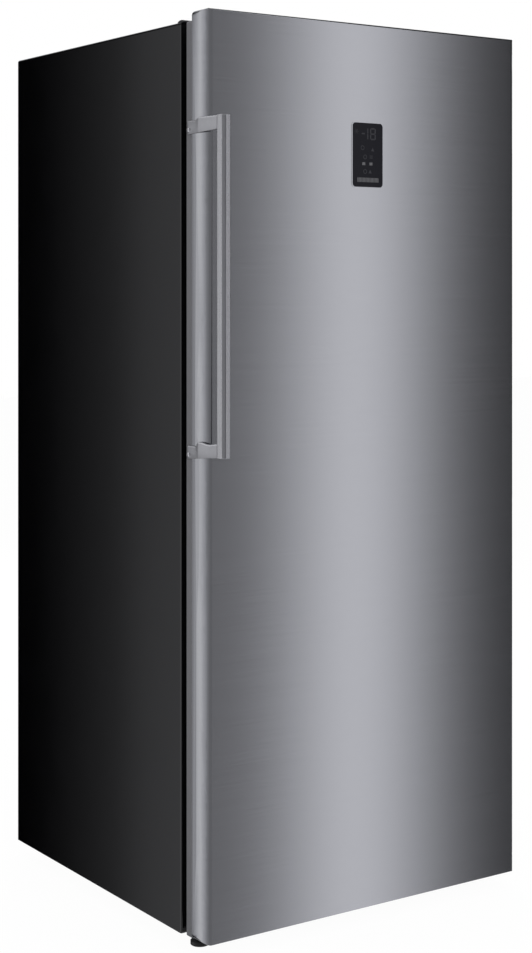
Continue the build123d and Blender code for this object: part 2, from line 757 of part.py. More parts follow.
# ---------------------------------------------------------------- feet and rollers


def levelling_foot(x):
    """A screw-in foot: flat pad, tapered neck and stud, turned about one upright axis."""
    with BuildPart(mode=Mode.PRIVATE) as foot:
        with BuildSketch(facing(foot_y)):
            with Locations((x, 0)):
                Polygon(
                    (0, 0),
                    (PAD_RADIUS - 1, 0),
                    (PAD_RADIUS, 1),
                    (PAD_RADIUS, PAD_HEIGHT - 2),
                    (PAD_RADIUS - 2, PAD_HEIGHT),
                    (NECK_RADIUS, PAD_HEIGHT + 3),
                    (NECK_RADIUS, NECK_TOP),
                    (STUD_RADIUS, NECK_TOP),
                    (STUD_RADIUS, STUD_TOP),
                    (0, STUD_TOP),
                    align=None,
                )
        revolve(axis=Axis((x, foot_y, 0), (0, 0, 1)))
    return foot


foot_front_left = levelling_foot(-foot_x)
foot_front_right = levelling_foot(foot_x)


def rear_roller(x):
    """A roller with a bevelled tread and a plain bore."""
    with BuildPart(mode=Mode.PRIVATE) as roller:
        with BuildSketch(Plane.XY.offset(ROLLER_RADIUS)) as section:
            with Locations((x, roller_y + (ROLLER_RADIUS + AXLE_RADIUS + RUN) / 2)):
                Rectangle(ROLLER_WIDTH, ROLLER_RADIUS - AXLE_RADIUS - RUN)
            chamfer(section.vertices().group_by(Axis.Y)[-1], TREAD)
        revolve(axis=Axis((x, roller_y, ROLLER_RADIUS), (1, 0, 0)))
    return roller


roller_left = rear_roller(-roller_x)
roller_right = rear_roller(roller_x)

with BuildPart() as roller_brackets:
    for x in (-roller_x, roller_x):
        reach = ROLLER_WIDTH / 2 + CHEEK_GAP + CHEEK
        with BuildSketch(from_side(x - reach)) as cheek:
            Polygon(
                (roller_y - 2 * ROLLER_RADIUS, cabinet_bottom),
                (roller_y - 0.6 * ROLLER_RADIUS, 0.5 * ROLLER_RADIUS),
                (roller_y + 0.6 * ROLLER_RADIUS, 0.5 * ROLLER_RADIUS),
                (roller_y + 2 * ROLLER_RADIUS, cabinet_bottom),
                align=None,
            )
            with Locations((roller_y, ROLLER_RADIUS)):
                Circle(AXLE_RADIUS, mode=Mode.SUBTRACT)
        extrude(amount=2 * reach)
        block(
            (x - reach + CHEEK, x + reach - CHEEK),
            (roller_y - 3 * ROLLER_RADIUS, roller_y + 3 * ROLLER_RADIUS),
            (0, cabinet_bottom - CHEEK / 2),
            Mode.SUBTRACT,
        )

with BuildPart() as roller_axles:
    for x in (-roller_x, roller_x):
        reach = ROLLER_WIDTH / 2 + CHEEK_GAP + CHEEK
        with BuildSketch(from_side(x - reach)):
            with Locations((roller_y, ROLLER_RADIUS)):
                Circle(AXLE_RADIUS)
        extrude(amount=2 * reach)

# ---------------------------------------------------------------- compressor compartment

with BuildPart() as compressor_deck:
    with BuildSketch(from_side(-inner_half)):
        Polygon(
            (compartment_front, cabinet_bottom),
            (panel_back - COVER_SHEET, cabinet_bottom),
            (panel_back - COVER_SHEET, deck_top),
            (compartment_front + DECK, deck_top),
            (compartment_front + DECK, deck_top + DECK_LIP),
            (compartment_front, deck_top + DECK_LIP),
            align=None,
        )
    extrude(amount=2 * inner_half)

with BuildPart() as compressor_grommets:
    with Locations((compressor_x, compressor_y, deck_top)):
        with GridLocations(FEET_X, FEET_Y, 2, 2):
            Cylinder(GROMMET_RADIUS, GROMMET_HEIGHT, align=(Align.CENTER, Align.CENTER, Align.MIN))
            Hole(SHANK_RADIUS)

with BuildPart() as compressor:
    # A welded steel can on a foot plate, with the terminal box on its side.
    feet_z = deck_top + GROMMET_HEIGHT
    block(
        (compressor_x - FEET_X / 2 - GROMMET_RADIUS, compressor_x + FEET_X / 2 + GROMMET_RADIUS),
        (compressor_y - FEET_Y / 2 - GROMMET_RADIUS, compressor_y + FEET_Y / 2 + GROMMET_RADIUS),
        (feet_z, feet_z + HINGE_PLATE),
    )
    with BuildSketch(facing(compressor_y)):
        with BuildLine():
            can_side = compressor_x + CAN_RADIUS
            dome_edge = (compressor_x + 0.3 * CAN_RADIUS, feet_z + CAN_HEIGHT)
            low = Line((compressor_x, feet_z), (compressor_x + 0.7 * CAN_RADIUS, feet_z))
            bowl = RadiusArc(low @ 1, (can_side, feet_z + 0.4 * CAN_RADIUS), -0.45 * CAN_RADIUS)
            wall = Line(bowl @ 1, (can_side, feet_z + CAN_HEIGHT - 0.6 * CAN_RADIUS))
            dome = RadiusArc(wall @ 1, dome_edge, -0.75 * CAN_RADIUS)
            top = Line(dome @ 1, (compressor_x, feet_z + CAN_HEIGHT))
            Line(top @ 1, low @ 0)
        make_face()
    revolve(axis=Axis((compressor_x, compressor_y, 0), (0, 0, 1)))
    block(
        (compressor_x - CAN_RADIUS - 22, compressor_x - 0.8 * CAN_RADIUS),
        (compressor_y - 22, compressor_y + 22),
        (feet_z + 0.5 * CAN_HEIGHT, feet_z + 0.85 * CAN_HEIGHT),
    )

with BuildPart() as evaporation_tray:
    # An open pan on top of the compressor, where its heat dries the defrost water.
    tray_low = feet_z + CAN_HEIGHT
    with BuildSketch(Plane.XY.offset(tray_low)):
        with Locations((compressor_x, compressor_y)):
            RectangleRounded(TRAY_WIDTH - 8, TRAY_DEPTH - 8, 10)
    with BuildSketch(Plane.XY.offset(tray_low + TRAY_HEIGHT)):
        with Locations((compressor_x, compressor_y)):
            RectangleRounded(TRAY_WIDTH, TRAY_DEPTH, 12)
    loft()
    offset(amount=-COVER_WALL, openings=evaporation_tray.faces().sort_by(Axis.Z)[-1])


def finned_coil(base, length, depth, height, fins, rows):
    """A row of tubes through a pack of fins: the fins stand on the base plane, and the return bends show
    at both ends."""
    upright = Plane(origin=base.origin, x_dir=base.x_dir, z_dir=-base.y_dir)
    pitch = height / rows
    with BuildPart(mode=Mode.PRIVATE) as coil:
        with BuildSketch(base):
            Rectangle(length, FIN_SPINE)
            with GridLocations(length / (fins - 1), 0, fins, 1):
                Rectangle(FIN, depth)
        extrude(amount=height)
        for row in range(rows - 1):
            end = (length + FIN) / 2 * (1 if row % 2 else -1)
            low = (row + 0.5) * pitch
            out = end + (TUBE_STUB if row % 2 else -TUBE_STUB)
            bulge = out + (pitch / 2 if row % 2 else -pitch / 2)
            with BuildLine(upright) as bend:
                first = Line((end, low), (out, low))
                turn = ThreePointArc(first @ 1, (bulge, low + pitch / 2), (out, low + pitch))
                Line(turn @ 1, (end, low + pitch))
            with BuildSketch(Plane(origin=bend.line @ 0, z_dir=bend.line % 0)):
                Circle(TUBE_RADIUS)
            sweep(path=bend.line)
    return coil


condenser_coil = finned_coil(
    Plane(origin=(CONDENSER_X, compressor_y, deck_top), x_dir=(0, 1, 0), z_dir=(0, 0, 1)),
    CONDENSER_LENGTH,
    CONDENSER_DEPTH,
    CONDENSER_HEIGHT,
    CONDENSER_FINS,
    CONDENSER_ROWS,
)
evaporator_coil = finned_coil(
    Plane((0, cavity_back - EVAPORATOR_THICKNESS / 2, evaporator_bottom), x_dir=(1, 0, 0), z_dir=(0, 0, 1)),
    EVAPORATOR_LENGTH,
    EVAPORATOR_THICKNESS,
    EVAPORATOR_HEIGHT,
    EVAPORATOR_FINS,
    EVAPORATOR_ROWS,
)


def fan_blades(shaft, hub_radius, tip_radius, depth, blades):
    """A moulded fan on a shaft plane whose normal is the shaft: hub with a blind bore, twisted blades."""
    blade_ends = ((hub_radius - HUB_SINK, 0.9 * depth, 48), (tip_radius, 1.5 * depth, 24))
    with BuildPart(mode=Mode.PRIVATE) as fan:
        with BuildSketch(shaft):
            Circle(hub_radius)
        extrude(amount=depth)
        for blade in range(blades):
            angle = radians(360 * blade / blades)
            spoke = shaft.x_dir * cos(angle) + shaft.y_dir * sin(angle)
            around = shaft.y_dir * cos(angle) - shaft.x_dir * sin(angle)
            sections = []
            for reach, chord, pitch in blade_ends:
                slant = around * cos(radians(pitch)) + shaft.z_dir * sin(radians(pitch))
                middle = shaft.origin + shaft.z_dir * (depth / 2) + spoke * reach
                with BuildSketch(Plane(origin=middle, x_dir=slant, z_dir=spoke), mode=Mode.PRIVATE) as section:
                    Rectangle(chord, BLADE)
                sections.append(section.sketch)
            loft(sections)
        with BuildSketch(shaft):
            Circle(SHAFT_RADIUS + RUN)
        extrude(amount=SHAFT_GRIP, mode=Mode.SUBTRACT)
    return fan


def fan_motor(shaft, radius, length):
    """The motor behind a fan: a drum with its shaft standing into the hub."""
    with BuildSketch(shaft.offset(-CLEAR), mode=Mode.PRIVATE) as drum:
        Circle(radius)
    extrude(drum.sketch, amount=-length)
    with BuildSketch(shaft.offset(-CLEAR), mode=Mode.PRIVATE) as spindle:
        Circle(SHAFT_RADIUS)
    extrude(spindle.sketch, amount=SHAFT_GRIP)


condenser_fan_place = (CONDENSER_FAN_X, compressor_y, CONDENSER_FAN_Z)
condenser_shaft = Plane(condenser_fan_place, x_dir=(0, 1, 0), z_dir=(-1, 0, 0))
condenser_fan_blades = fan_blades(
    condenser_shaft, CONDENSER_HUB, CONDENSER_TIP, CONDENSER_BLADE_DEPTH, FAN_BLADES
)
with BuildPart() as condenser_fan_motor:
    fan_motor(condenser_shaft, CONDENSER_MOTOR_RADIUS, MOTOR_LENGTH)
    # The bracket is a bent strip from the deck to the back of the drum.
    block(
        (CONDENSER_FAN_X + MOTOR_LENGTH / 2, CONDENSER_FAN_X + MOTOR_LENGTH / 2 + DECK),
        (compressor_y - MOTOR_STRIP / 2, compressor_y + MOTOR_STRIP / 2),
        (deck_top, CONDENSER_FAN_Z),
    )
    block(
        (CONDENSER_FAN_X + MOTOR_LENGTH / 2, CONDENSER_FAN_X + MOTOR_LENGTH / 2 + STRIP_FOOT),
        (compressor_y - MOTOR_STRIP / 2, compressor_y + MOTOR_STRIP / 2),
        (deck_top, deck_top + DECK),
    )

evaporator_shaft = Plane(origin=(0, evaporator_fan_y, evaporator_fan_z), x_dir=(1, 0, 0), z_dir=(0, -1, 0))
evaporator_fan_blades = fan_blades(
    evaporator_shaft, EVAPORATOR_HUB, EVAPORATOR_TIP, EVAPORATOR_BLADE_DEPTH, FAN_BLADES
)
with BuildPart() as evaporator_fan_motor:
    fan_motor(evaporator_shaft, EVAPORATOR_MOTOR_RADIUS, cavity_back - evaporator_fan_y - DECK)
    # A strip bracket carries the drum and bears on the liner behind it.
    block(
        (-MOTOR_ARM, MOTOR_ARM),
        (cavity_back - DECK, cavity_back),
        (evaporator_fan_z - MOTOR_ARM_RISE, evaporator_fan_z + MOTOR_ARM_RISE),
    )

with BuildPart() as filter_drier:
    with BuildSketch(facing(drier_y)):
        with BuildLine():
            Polyline(
                (DRIER_X, DRIER_LOW),
                (DRIER_X + DRIER_NECK, DRIER_LOW),
                (DRIER_X + DRIER_NECK, DRIER_LOW + DRIER_END),
                (DRIER_X + DRIER_RADIUS, DRIER_LOW + DRIER_END + DRIER_CONE),
                (DRIER_X + DRIER_RADIUS, drier_high - DRIER_END - DRIER_CONE),
                (DRIER_X + DRIER_NECK, drier_high - DRIER_END),
                (DRIER_X + DRIER_NECK, drier_high),
                (DRIER_X, drier_high),
                close=True,
            )
        make_face()
    revolve(axis=Axis((DRIER_X, drier_y, 0), (0, 0, 1)))
    # Clip to the compartment's front wall
    block(
        (DRIER_X - CLIP / 2, DRIER_X + CLIP / 2),
        (compartment_front, drier_y),
        ((DRIER_LOW + drier_high - CLIP) / 2, (DRIER_LOW + drier_high + CLIP) / 2),
    )

with BuildPart() as refrigerant_lines:
    routes = (
        (
            (compressor_x + LINE_OFFSET, compressor_y - CAN_RADIUS + LINE_SINK, feet_z + LINE_RISE),
            (compressor_x + LINE_OFFSET, compartment_front + LINE_SET, feet_z + LINE_RISE),
            (compressor_x + LINE_OFFSET, compartment_front + LINE_SET, compartment_top),
        ),
        (
            (DRIER_X, drier_y, drier_high),
            (DRIER_X, drier_y, compartment_top),
        ),
    )
    for route in routes:
        with BuildLine() as run:
            if len(route) > 2:
                FilletPolyline(*route, radius=LINE_BEND)
            else:
                Line(*route)
        with BuildSketch(Plane(origin=run.line @ 0, z_dir=run.line % 0)):
            Circle(LINE_RADIUS)
        sweep(path=run.line)

with BuildPart() as control_box:
    block(
        (-inner_half, CONTROL_WIDTH - inner_half),
        (compressor_y - CONTROL_DEPTH / 2, compressor_y + CONTROL_DEPTH / 2),
        (deck_top, deck_top + CONTROL_HEIGHT),
    )
    chamfer(control_box.edges().filter_by(Axis.Y).group_by(Axis.X)[-1], CONTROL_BEVEL)

with BuildPart() as rear_cover:
    with BuildSketch(facing(panel_back)):
        frame_outline(inner_half, deck_top, compartment_top)
        with Locations((gland_x, GLAND_Z)):
            Circle(GLAND_RADIUS, mode=Mode.SUBTRACT)
        with Locations((0, (deck_top + compartment_top) / 2)):
            with GridLocations(LOUVRE + LOUVRE_GAP, LOUVRE_PITCH, LOUVRE_COLUMNS, LOUVRE_ROWS):
                Rectangle(LOUVRE, LOUVRE_SLOT, mode=Mode.SUBTRACT)
        with Locations(*cover_screw_places):
            Circle(SHANK_RADIUS, mode=Mode.SUBTRACT)
    extrude(amount=COVER_SHEET)
    # Each slot has a pressed hood over it that sheds water.
    for column in range(LOUVRE_COLUMNS):
        left = (column - (LOUVRE_COLUMNS - 1) / 2) * (LOUVRE + LOUVRE_GAP) - LOUVRE / 2
        with BuildSketch(from_side(left)):
            for row in range(LOUVRE_ROWS):
                z = (deck_top + compartment_top) / 2 + (row - (LOUVRE_ROWS - 1) / 2) * LOUVRE_PITCH
                Polygon(
                    (panel_back, z + LOUVRE_SLOT / 2 + COVER_SHEET),
                    (panel_back, z + LOUVRE_SLOT / 2),
                    (panel_back + HOOD, z - LOUVRE_SLOT / 2),
                    (panel_back + HOOD, z - LOUVRE_SLOT / 2 + SHEET),
                    align=None,
                )
        extrude(amount=LOUVRE)

with BuildPart() as cover_screws:
    for x, z in cover_screw_places:
        seat = Plane((x, panel_back, z), z_dir=(0, 1, 0))
        screw(seat, SCREW_HEAD, SCREW_HEAD_HEIGHT, SHANK_RADIUS, COVER_SHEET)

with BuildPart() as cord_gland:
    with BuildSketch(facing(panel_back + HOOD)):
        with Locations((gland_x, GLAND_Z)):
            Circle(GLAND_RADIUS + GLAND_RIM)
    extrude(amount=HOOD)
    with BuildSketch(facing(panel_back)):
        with Locations((gland_x, GLAND_Z)):
            Circle(GLAND_RADIUS)
    extrude(amount=GLAND_LENGTH)
    with BuildSketch(facing(panel_back + HOOD)):
        with Locations((gland_x, GLAND_Z)):
            Circle(GLAND_BORE)
    extrude(amount=GLAND_LENGTH + HOOD, mode=Mode.SUBTRACT)

# ---------------------------------------------------------------- food space

with BuildPart() as evaporator_cover:
    # A moulded panel with returns, blown through by the fan's grille and the vents above and below it.
    cover_half = cavity_half - LEDGE + 1
    cover_top = cavity_top - LINER_RADIUS
    block((-cover_half, cover_half), (evaporator_front, cavity_back), (evaporator_cover_bottom, cover_top))
    wall = EVAPORATOR_COVER_WALL
    block(
        (wall - cover_half, cover_half - wall),
        (evaporator_front + wall, cavity_back),
        (evaporator_cover_bottom + wall, cover_top - wall),
        Mode.SUBTRACT,
    )
    with BuildSketch(facing(evaporator_front + wall)):
        with Locations((0, evaporator_fan_z)):
            with PolarLocations(34, 10):
                Rectangle(30, 8)
        with Locations((0, cavity_top - 110)):
            with GridLocations(120, 14, 4, 4):
                Rectangle(100, 5)
        with Locations((0, evaporator_cover_bottom + 35)):
            with GridLocations(32, 40, 14, 1):
                Rectangle(16, 40)
    extrude(amount=wall, mode=Mode.SUBTRACT)

with BuildPart() as defrost_heater:
    # A hairpin tube under the coil, hung from two clips.
    heater_z = evaporator_bottom - HEATER_DROP
    heater_y = cavity_back - EVAPORATOR_THICKNESS / 2
    leg = HEATER_LENGTH / 2
    with BuildLine(Plane.XY.offset(heater_z)) as hairpin:
        out_leg = Line((-leg, heater_y - HEATER_HALF), (leg, heater_y - HEATER_HALF))
        turn = ThreePointArc(out_leg @ 1, (leg + HEATER_HALF, heater_y), (leg, heater_y + HEATER_HALF))
        Line(turn @ 1, (-leg, heater_y + HEATER_HALF))
    with BuildSketch(Plane(origin=hairpin.line @ 0, z_dir=hairpin.line % 0)):
        Circle(LINE_RADIUS)
    sweep(path=hairpin.line)
    for x in (-leg / 2, leg / 2):
        block(
            (x - HEATER_CLIP / 2, x + HEATER_CLIP / 2),
            (heater_y - HEATER_HALF - 1, heater_y + HEATER_HALF + 1),
            (heater_z - 1, evaporator_bottom),
        )

with BuildPart() as lamp_lens:
    block(
        (-LAMP_WIDTH / 2, LAMP_WIDTH / 2),
        (shelf_front, shelf_front + LAMP_DEPTH),
        (cavity_top - LAMP_HEIGHT, cavity_top),
    )
    fillet(lamp_lens.edges().group_by(Axis.Z)[0], LAMP_EDGE)


def shelf(z):
    """A moulded shelf frame that rests on the liner's ledges, with a rebate for its pane."""
    reach = cavity_half - SHELF_SIDE_GAP
    middle = shelf_front + SHELF_DEPTH / 2
    with BuildPart(mode=Mode.PRIVATE) as tray:
        with BuildSketch(Plane.XY.offset(z)):
            with Locations((0, middle)):
                Rectangle(2 * reach, SHELF_DEPTH)
                Rectangle(2 * (reach - SHELF_RIM), SHELF_DEPTH - 2 * SHELF_RIM, mode=Mode.SUBTRACT)
        extrude(amount=SHELF_THICKNESS)
        fillet(tray.edges().filter_by(Axis.X).group_by(Axis.Y)[0], SHELF_THICKNESS / 3)
        with BuildSketch(Plane.XY.offset(z + SHELF_THICKNESS - GLASS)):
            with Locations((0, middle)):
                Rectangle(2 * (reach - SHELF_RIM / 2), SHELF_DEPTH - SHELF_RIM)
        extrude(amount=GLASS, mode=Mode.SUBTRACT)
    return tray


shelves = [shelf(z) for z in shelf_heights]

with BuildPart() as shelf_glass:
    for z in shelf_heights:
        with BuildSketch(Plane.XY.offset(z + SHELF_THICKNESS - GLASS)):
            with Locations((0, shelf_front + SHELF_DEPTH / 2)):
                Rectangle(
                    2 * (cavity_half - SHELF_SIDE_GAP - SHELF_RIM / 2 - FIT), SHELF_DEPTH - SHELF_RIM - 2 * FIT
                )
        extrude(amount=GLASS)


def drawer(bottom, back):
    """A tapered basket with vented sides, lips that ride on the rails, and a taller front with a grip."""
    top = bottom + DRAWER_HEIGHT
    front = drawer_front + FASCIA
    with BuildPart(mode=Mode.PRIVATE) as basket:
        for z, draft in ((bottom, DRAWER_DRAFT), (top, 0)):
            with BuildSketch(Plane.XY.offset(z)):
                with Locations((0, (front + back - draft) / 2)):
                    Rectangle(2 * (drawer_half - draft), back - draft - front)
        loft()
        offset(amount=-DRAWER_WALL, openings=basket.faces().sort_by(Axis.Z)[-1])
        with BuildSketch(from_side(-drawer_half)):
            with Locations(((front + back) / 2, bottom + 0.55 * DRAWER_HEIGHT)):
                with GridLocations((back - front) / 6, 0.3 * DRAWER_HEIGHT, 5, 2):
                    Rectangle((back - front) / 9, 0.16 * DRAWER_HEIGHT)
        extrude(amount=2 * drawer_half, mode=Mode.SUBTRACT)
        for side in (-1, 1):
            edges = sorted((side * (drawer_half - DRAWER_WALL / 2), side * (drawer_half + DRAWER_LIP)))
            block(edges, (front, back), (top - FASCIA, top))
        wide = drawer_half + DRAWER_DRAFT
        block((-wide, wide), (drawer_front, front), (bottom, top + FASCIA_RISE))
        with BuildSketch(facing(front + DRAWER_WALL + 1)):
            with Locations((0, top - GRIP_DROP)):
                SlotOverall(GRIP_WIDTH, GRIP_HEIGHT)
        extrude(amount=FASCIA + DRAWER_WALL + 2, mode=Mode.SUBTRACT)
    return basket


drawer_lower = drawer(lower_drawer_bottom, lower_drawer_back)
drawer_upper = drawer(upper_drawer_bottom, upper_drawer_back)

with BuildPart() as drawer_rails:
    # Angle rails on the liner's sides, one pair under each drawer's lips.
    for bottom, back in ((lower_drawer_bottom, lower_drawer_back), (upper_drawer_bottom, upper_drawer_back)):
        rail_top = bottom + DRAWER_HEIGHT - FASCIA - CLEAR
        with BuildSketch(facing(back)):
            for side in (-1, 1):
                inner = side * (drawer_half + DRAWER_LIP / 2)
                web = side * (cavity_half - FASCIA)
                Polygon(
                    (side * cavity_half, rail_top),
                    (inner, rail_top),
                    (inner, rail_top - FASCIA),
                    (web, rail_top - FASCIA),
                    (web, rail_top - RAIL_HEIGHT),
                    (side * cavity_half, rail_top - RAIL_HEIGHT),
                    align=None,
                )
        extrude(amount=back - drawer_front - 30)


def door_bin(bottom):
    """A tapered tray between the dykes whose inner side is open above a low wall, under a retaining bar."""
    reach = dyke_outer - DYKE_WIDTH - BIN_GAP
    with BuildPart(mode=Mode.PRIVATE) as tray:
        for z, draft in ((bottom, BIN_DRAFT), (bottom + BIN_HEIGHT, 0)):
            with BuildSketch(Plane.XY.offset(z)):
                with Locations((0, door_back + (BIN_DEPTH - draft) / 2)):
                    Rectangle(2 * (reach - draft), BIN_DEPTH - draft)
        loft()
        offset(amount=-BIN_WALL, openings=tray.faces().sort_by(Axis.Z)[-1])
        block(
            (BIN_DRAFT * 4 - reach, reach - BIN_DRAFT * 4),
            (door_back + BIN_DEPTH - 3 * BIN_DRAFT, door_back + BIN_DEPTH + 1),
            (bottom + 0.5 * BIN_HEIGHT, bottom + 0.85 * BIN_HEIGHT),
            Mode.SUBTRACT,
        )
    return tray


door_bins = [door_bin(z) for z in bin_bottoms]

# ---------------------------------------------------------------- files

pieces = {
    "cabinet_shell": cabinet_shell,
    "back_panel": back_panel,
    "base_pan": base_pan,
    "cabinet_foam": cabinet_foam,
    "inner_liner": inner_liner,
    "front_top_trim": front_top_trim,
    "door_skin": door_skin,
    "door_frame": door_frame,
    "door_top_cap": door_top_cap,
    "door_liner": door_liner,
    "door_foam": door_foam,
    "door_gasket": door_gasket,
    "display_housing": display_housing,
    "display_panel": display_panel,
    "handle_bar": handle_bar,
    "handle_bracket_upper": handle_bracket_upper,
    "handle_bracket_lower": handle_bracket_lower,
    "handle_screws": handle_screws,
    "top_hinge": top_hinge,
    "bottom_hinge": bottom_hinge,
    "hinge_bushes": hinge_bushes,
    "hinge_screws": hinge_screws,
    "top_hinge_cover": top_hinge_cover,
    "foot_front_left": foot_front_left,
    "foot_front_right": foot_front_right,
    "roller_left": roller_left,
    "roller_right": roller_right,
    "roller_brackets": roller_brackets,
    "roller_axles": roller_axles,
    "compressor_deck": compressor_deck,
    "compressor_grommets": compressor_grommets,
    "compressor": compressor,
    "evaporation_tray": evaporation_tray,
    "condenser_coil": condenser_coil,
    "condenser_fan_blades": condenser_fan_blades,
    "condenser_fan_motor": condenser_fan_motor,
    "filter_drier": filter_drier,
    "refrigerant_lines": refrigerant_lines,
    "control_box": control_box,
    "rear_cover": rear_cover,
    "cover_screws": cover_screws,
    "cord_gland": cord_gland,
    "evaporator_cover": evaporator_cover,
    "evaporator_coil": evaporator_coil,
    "evaporator_fan_blades": evaporator_fan_blades,
    "evaporator_fan_motor": evaporator_fan_motor,
    "defrost_heater": defrost_heater,
    "lamp_lens": lamp_lens,
    "shelf_glass": shelf_glass,
    "drawer_lower": drawer_lower,
    "drawer_upper": drawer_upper,
    "drawer_rails": drawer_rails,
}
pieces.update({f"shelf_{number}": piece for number, piece in enumerate(shelves, 1)})
pieces.update({f"door_bin_{number}": piece for number, piece in enumerate(door_bins, 1)})

os.makedirs("parts", exist_ok=True)
for name, piece in pieces.items():
    piece.part.label = name
    export_step(piece.part, f"parts/{name}.step")
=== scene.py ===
"""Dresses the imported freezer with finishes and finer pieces, and sets the studio and the camera.
The mesh tools work in millimetres, and each finished piece is in metres, as the scene is."""

import math

import bmesh
import bpy
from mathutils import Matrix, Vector


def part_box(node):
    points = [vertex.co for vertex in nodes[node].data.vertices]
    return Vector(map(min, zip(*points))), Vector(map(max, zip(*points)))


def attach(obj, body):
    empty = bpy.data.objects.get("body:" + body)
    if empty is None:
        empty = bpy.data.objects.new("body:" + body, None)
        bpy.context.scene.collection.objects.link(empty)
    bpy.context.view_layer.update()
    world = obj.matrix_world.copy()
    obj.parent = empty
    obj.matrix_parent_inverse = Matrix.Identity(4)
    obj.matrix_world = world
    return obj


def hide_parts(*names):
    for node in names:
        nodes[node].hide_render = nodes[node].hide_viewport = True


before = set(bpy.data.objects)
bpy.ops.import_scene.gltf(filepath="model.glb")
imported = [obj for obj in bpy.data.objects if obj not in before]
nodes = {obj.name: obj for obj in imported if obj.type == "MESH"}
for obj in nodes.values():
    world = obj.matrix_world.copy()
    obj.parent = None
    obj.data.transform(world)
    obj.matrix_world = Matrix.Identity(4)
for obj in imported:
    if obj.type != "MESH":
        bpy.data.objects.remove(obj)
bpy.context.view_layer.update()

MM = 0.001
scene = bpy.context.scene
scene.view_settings.view_transform = "Standard"


# ---------------------------------------------------------------- materials


# How far each finish's noise, its lighter edges (partly wear, partly a painted highlight) and grain reach.
NOISE_LOW, NOISE_HIGH = 0.25, 0.75
NOISE_ROUGHNESS = 0.6
WEAR_GLINT_LOW, WEAR_GLINT_HIGH = 0.52, 0.62
WEAR_GLINT_GAIN, WEAR_GLINT_LIFT = 1.8, 0.02
LEAST_ROUGHNESS = 0.02
GRAIN_DETAIL = 2.0
GRAIN_DEPTH = 0.0004


def tools(tree):
    """An emptied node tree's (node adder, linker). The adder sets inputs by name, and properties as _name."""
    tree.nodes.clear()

    def add(kind, **values):
        node = tree.nodes.new(kind)
        for key, value in values.items():
            if key.startswith("_"):
                setattr(node, key[1:], value)
            else:
                node.inputs[key.replace("_", " ")].default_value = value
        return node

    return add, tree.links.new


def new_material(name):
    """A new node material; returns (material, node adder, linker)."""
    m = bpy.data.materials.new(name)
    m.use_nodes = True
    return (m, *tools(m.node_tree))


def surface(
    name,
    color,
    rough=0.5,
    metallic=0.0,
    spread=0.06,
    scale=(40, 40, 40),
    rough_spread=0.08,
    bump=0.0,
    bump_scale=None,
    fine=600.0,
    aniso=0.0,
    turn=0.0,
    coat=0.0,
    coat_rough=0.1,
    transmission=0.0,
    ior=1.45,
    specular=0.5,
    edge=0.0,
    glow=0.0,
    detail=3.0,
):
    """A procedural finish: colour and roughness drift with a stretched noise, with a fine bump over it."""
    m, add, link = new_material(name)
    out = add("ShaderNodeOutputMaterial")
    b = add("ShaderNodeBsdfPrincipled", Metallic=metallic, IOR=ior, Anisotropic=aniso)
    b.inputs["Specular IOR Level"].default_value = specular
    b.inputs["Anisotropic Rotation"].default_value = turn
    b.inputs["Coat Weight"].default_value = coat
    b.inputs["Coat Roughness"].default_value = coat_rough
    b.inputs["Transmission Weight"].default_value = transmission
    link(b.outputs[0], out.inputs["Surface"])
    place = add("ShaderNodeTexCoord")
    stretch = add("ShaderNodeMapping", Scale=scale)
    link(place.outputs["Object"], stretch.inputs["Vector"])
    noise = add("ShaderNodeTexNoise", Scale=1.0, Detail=detail, Roughness=NOISE_ROUGHNESS)
    link(stretch.outputs[0], noise.inputs["Vector"])

    def drift(low, high):
        """The noise's middle range, spread between two values."""
        drifting = add(
            "ShaderNodeMapRange", From_Min=NOISE_LOW, From_Max=NOISE_HIGH, To_Min=low, To_Max=high
        )
        link(noise.outputs["Fac"], drifting.inputs["Value"])
        return drifting.outputs["Result"]

    tint = add("ShaderNodeVectorMath", _operation="SCALE")
    tint.inputs[0].default_value = color[:3]
    link(drift(1 - spread, 1 + spread), tint.inputs["Scale"])
    colour_out = tint.outputs[0]
    if edge:
        # Edges are a little lighter: partly wear, partly a painted highlight.
        geo = add("ShaderNodeNewGeometry")
        wear_and_glint = add("ShaderNodeMapRange", From_Min=WEAR_GLINT_LOW, From_Max=WEAR_GLINT_HIGH, To_Max=edge)
        link(geo.outputs["Pointiness"], wear_and_glint.inputs["Value"])
        worn_and_glint = tuple(min(1, WEAR_GLINT_GAIN * c + WEAR_GLINT_LIFT) for c in color[:3]) + (1,)
        blend = add("ShaderNodeMixRGB", Color2=worn_and_glint)
        link(wear_and_glint.outputs["Result"], blend.inputs["Fac"])
        link(colour_out, blend.inputs["Color1"])
        colour_out = blend.outputs[0]
    link(colour_out, b.inputs["Base Color"])
    if rough_spread:
        low, high = max(LEAST_ROUGHNESS, rough - rough_spread), min(1, rough + rough_spread)
        link(drift(low, high), b.inputs["Roughness"])
    else:
        b.inputs["Roughness"].default_value = rough
    if aniso:
        tangent = add("ShaderNodeTangent", _direction_type="RADIAL", _axis="Z")
        link(tangent.outputs[0], b.inputs["Tangent"])
    if bump:
        fine_map = add("ShaderNodeMapping", Scale=bump_scale or (fine, fine, fine))
        link(place.outputs["Object"], fine_map.inputs["Vector"])
        grain = add("ShaderNodeTexNoise", Scale=1.0, Detail=GRAIN_DETAIL)
        link(fine_map.outputs[0], grain.inputs["Vector"])
        bumps = add("ShaderNodeBump", Strength=bump, Distance=GRAIN_DEPTH)
        link(grain.outputs["Fac"], bumps.inputs["Height"])
        link(bumps.outputs[0], b.inputs["Normal"])
    if glow:
        b.inputs["Emission Color"].default_value = tuple(color[:3]) + (1,)
        b.inputs["Emission Strength"].default_value = glow
    return m


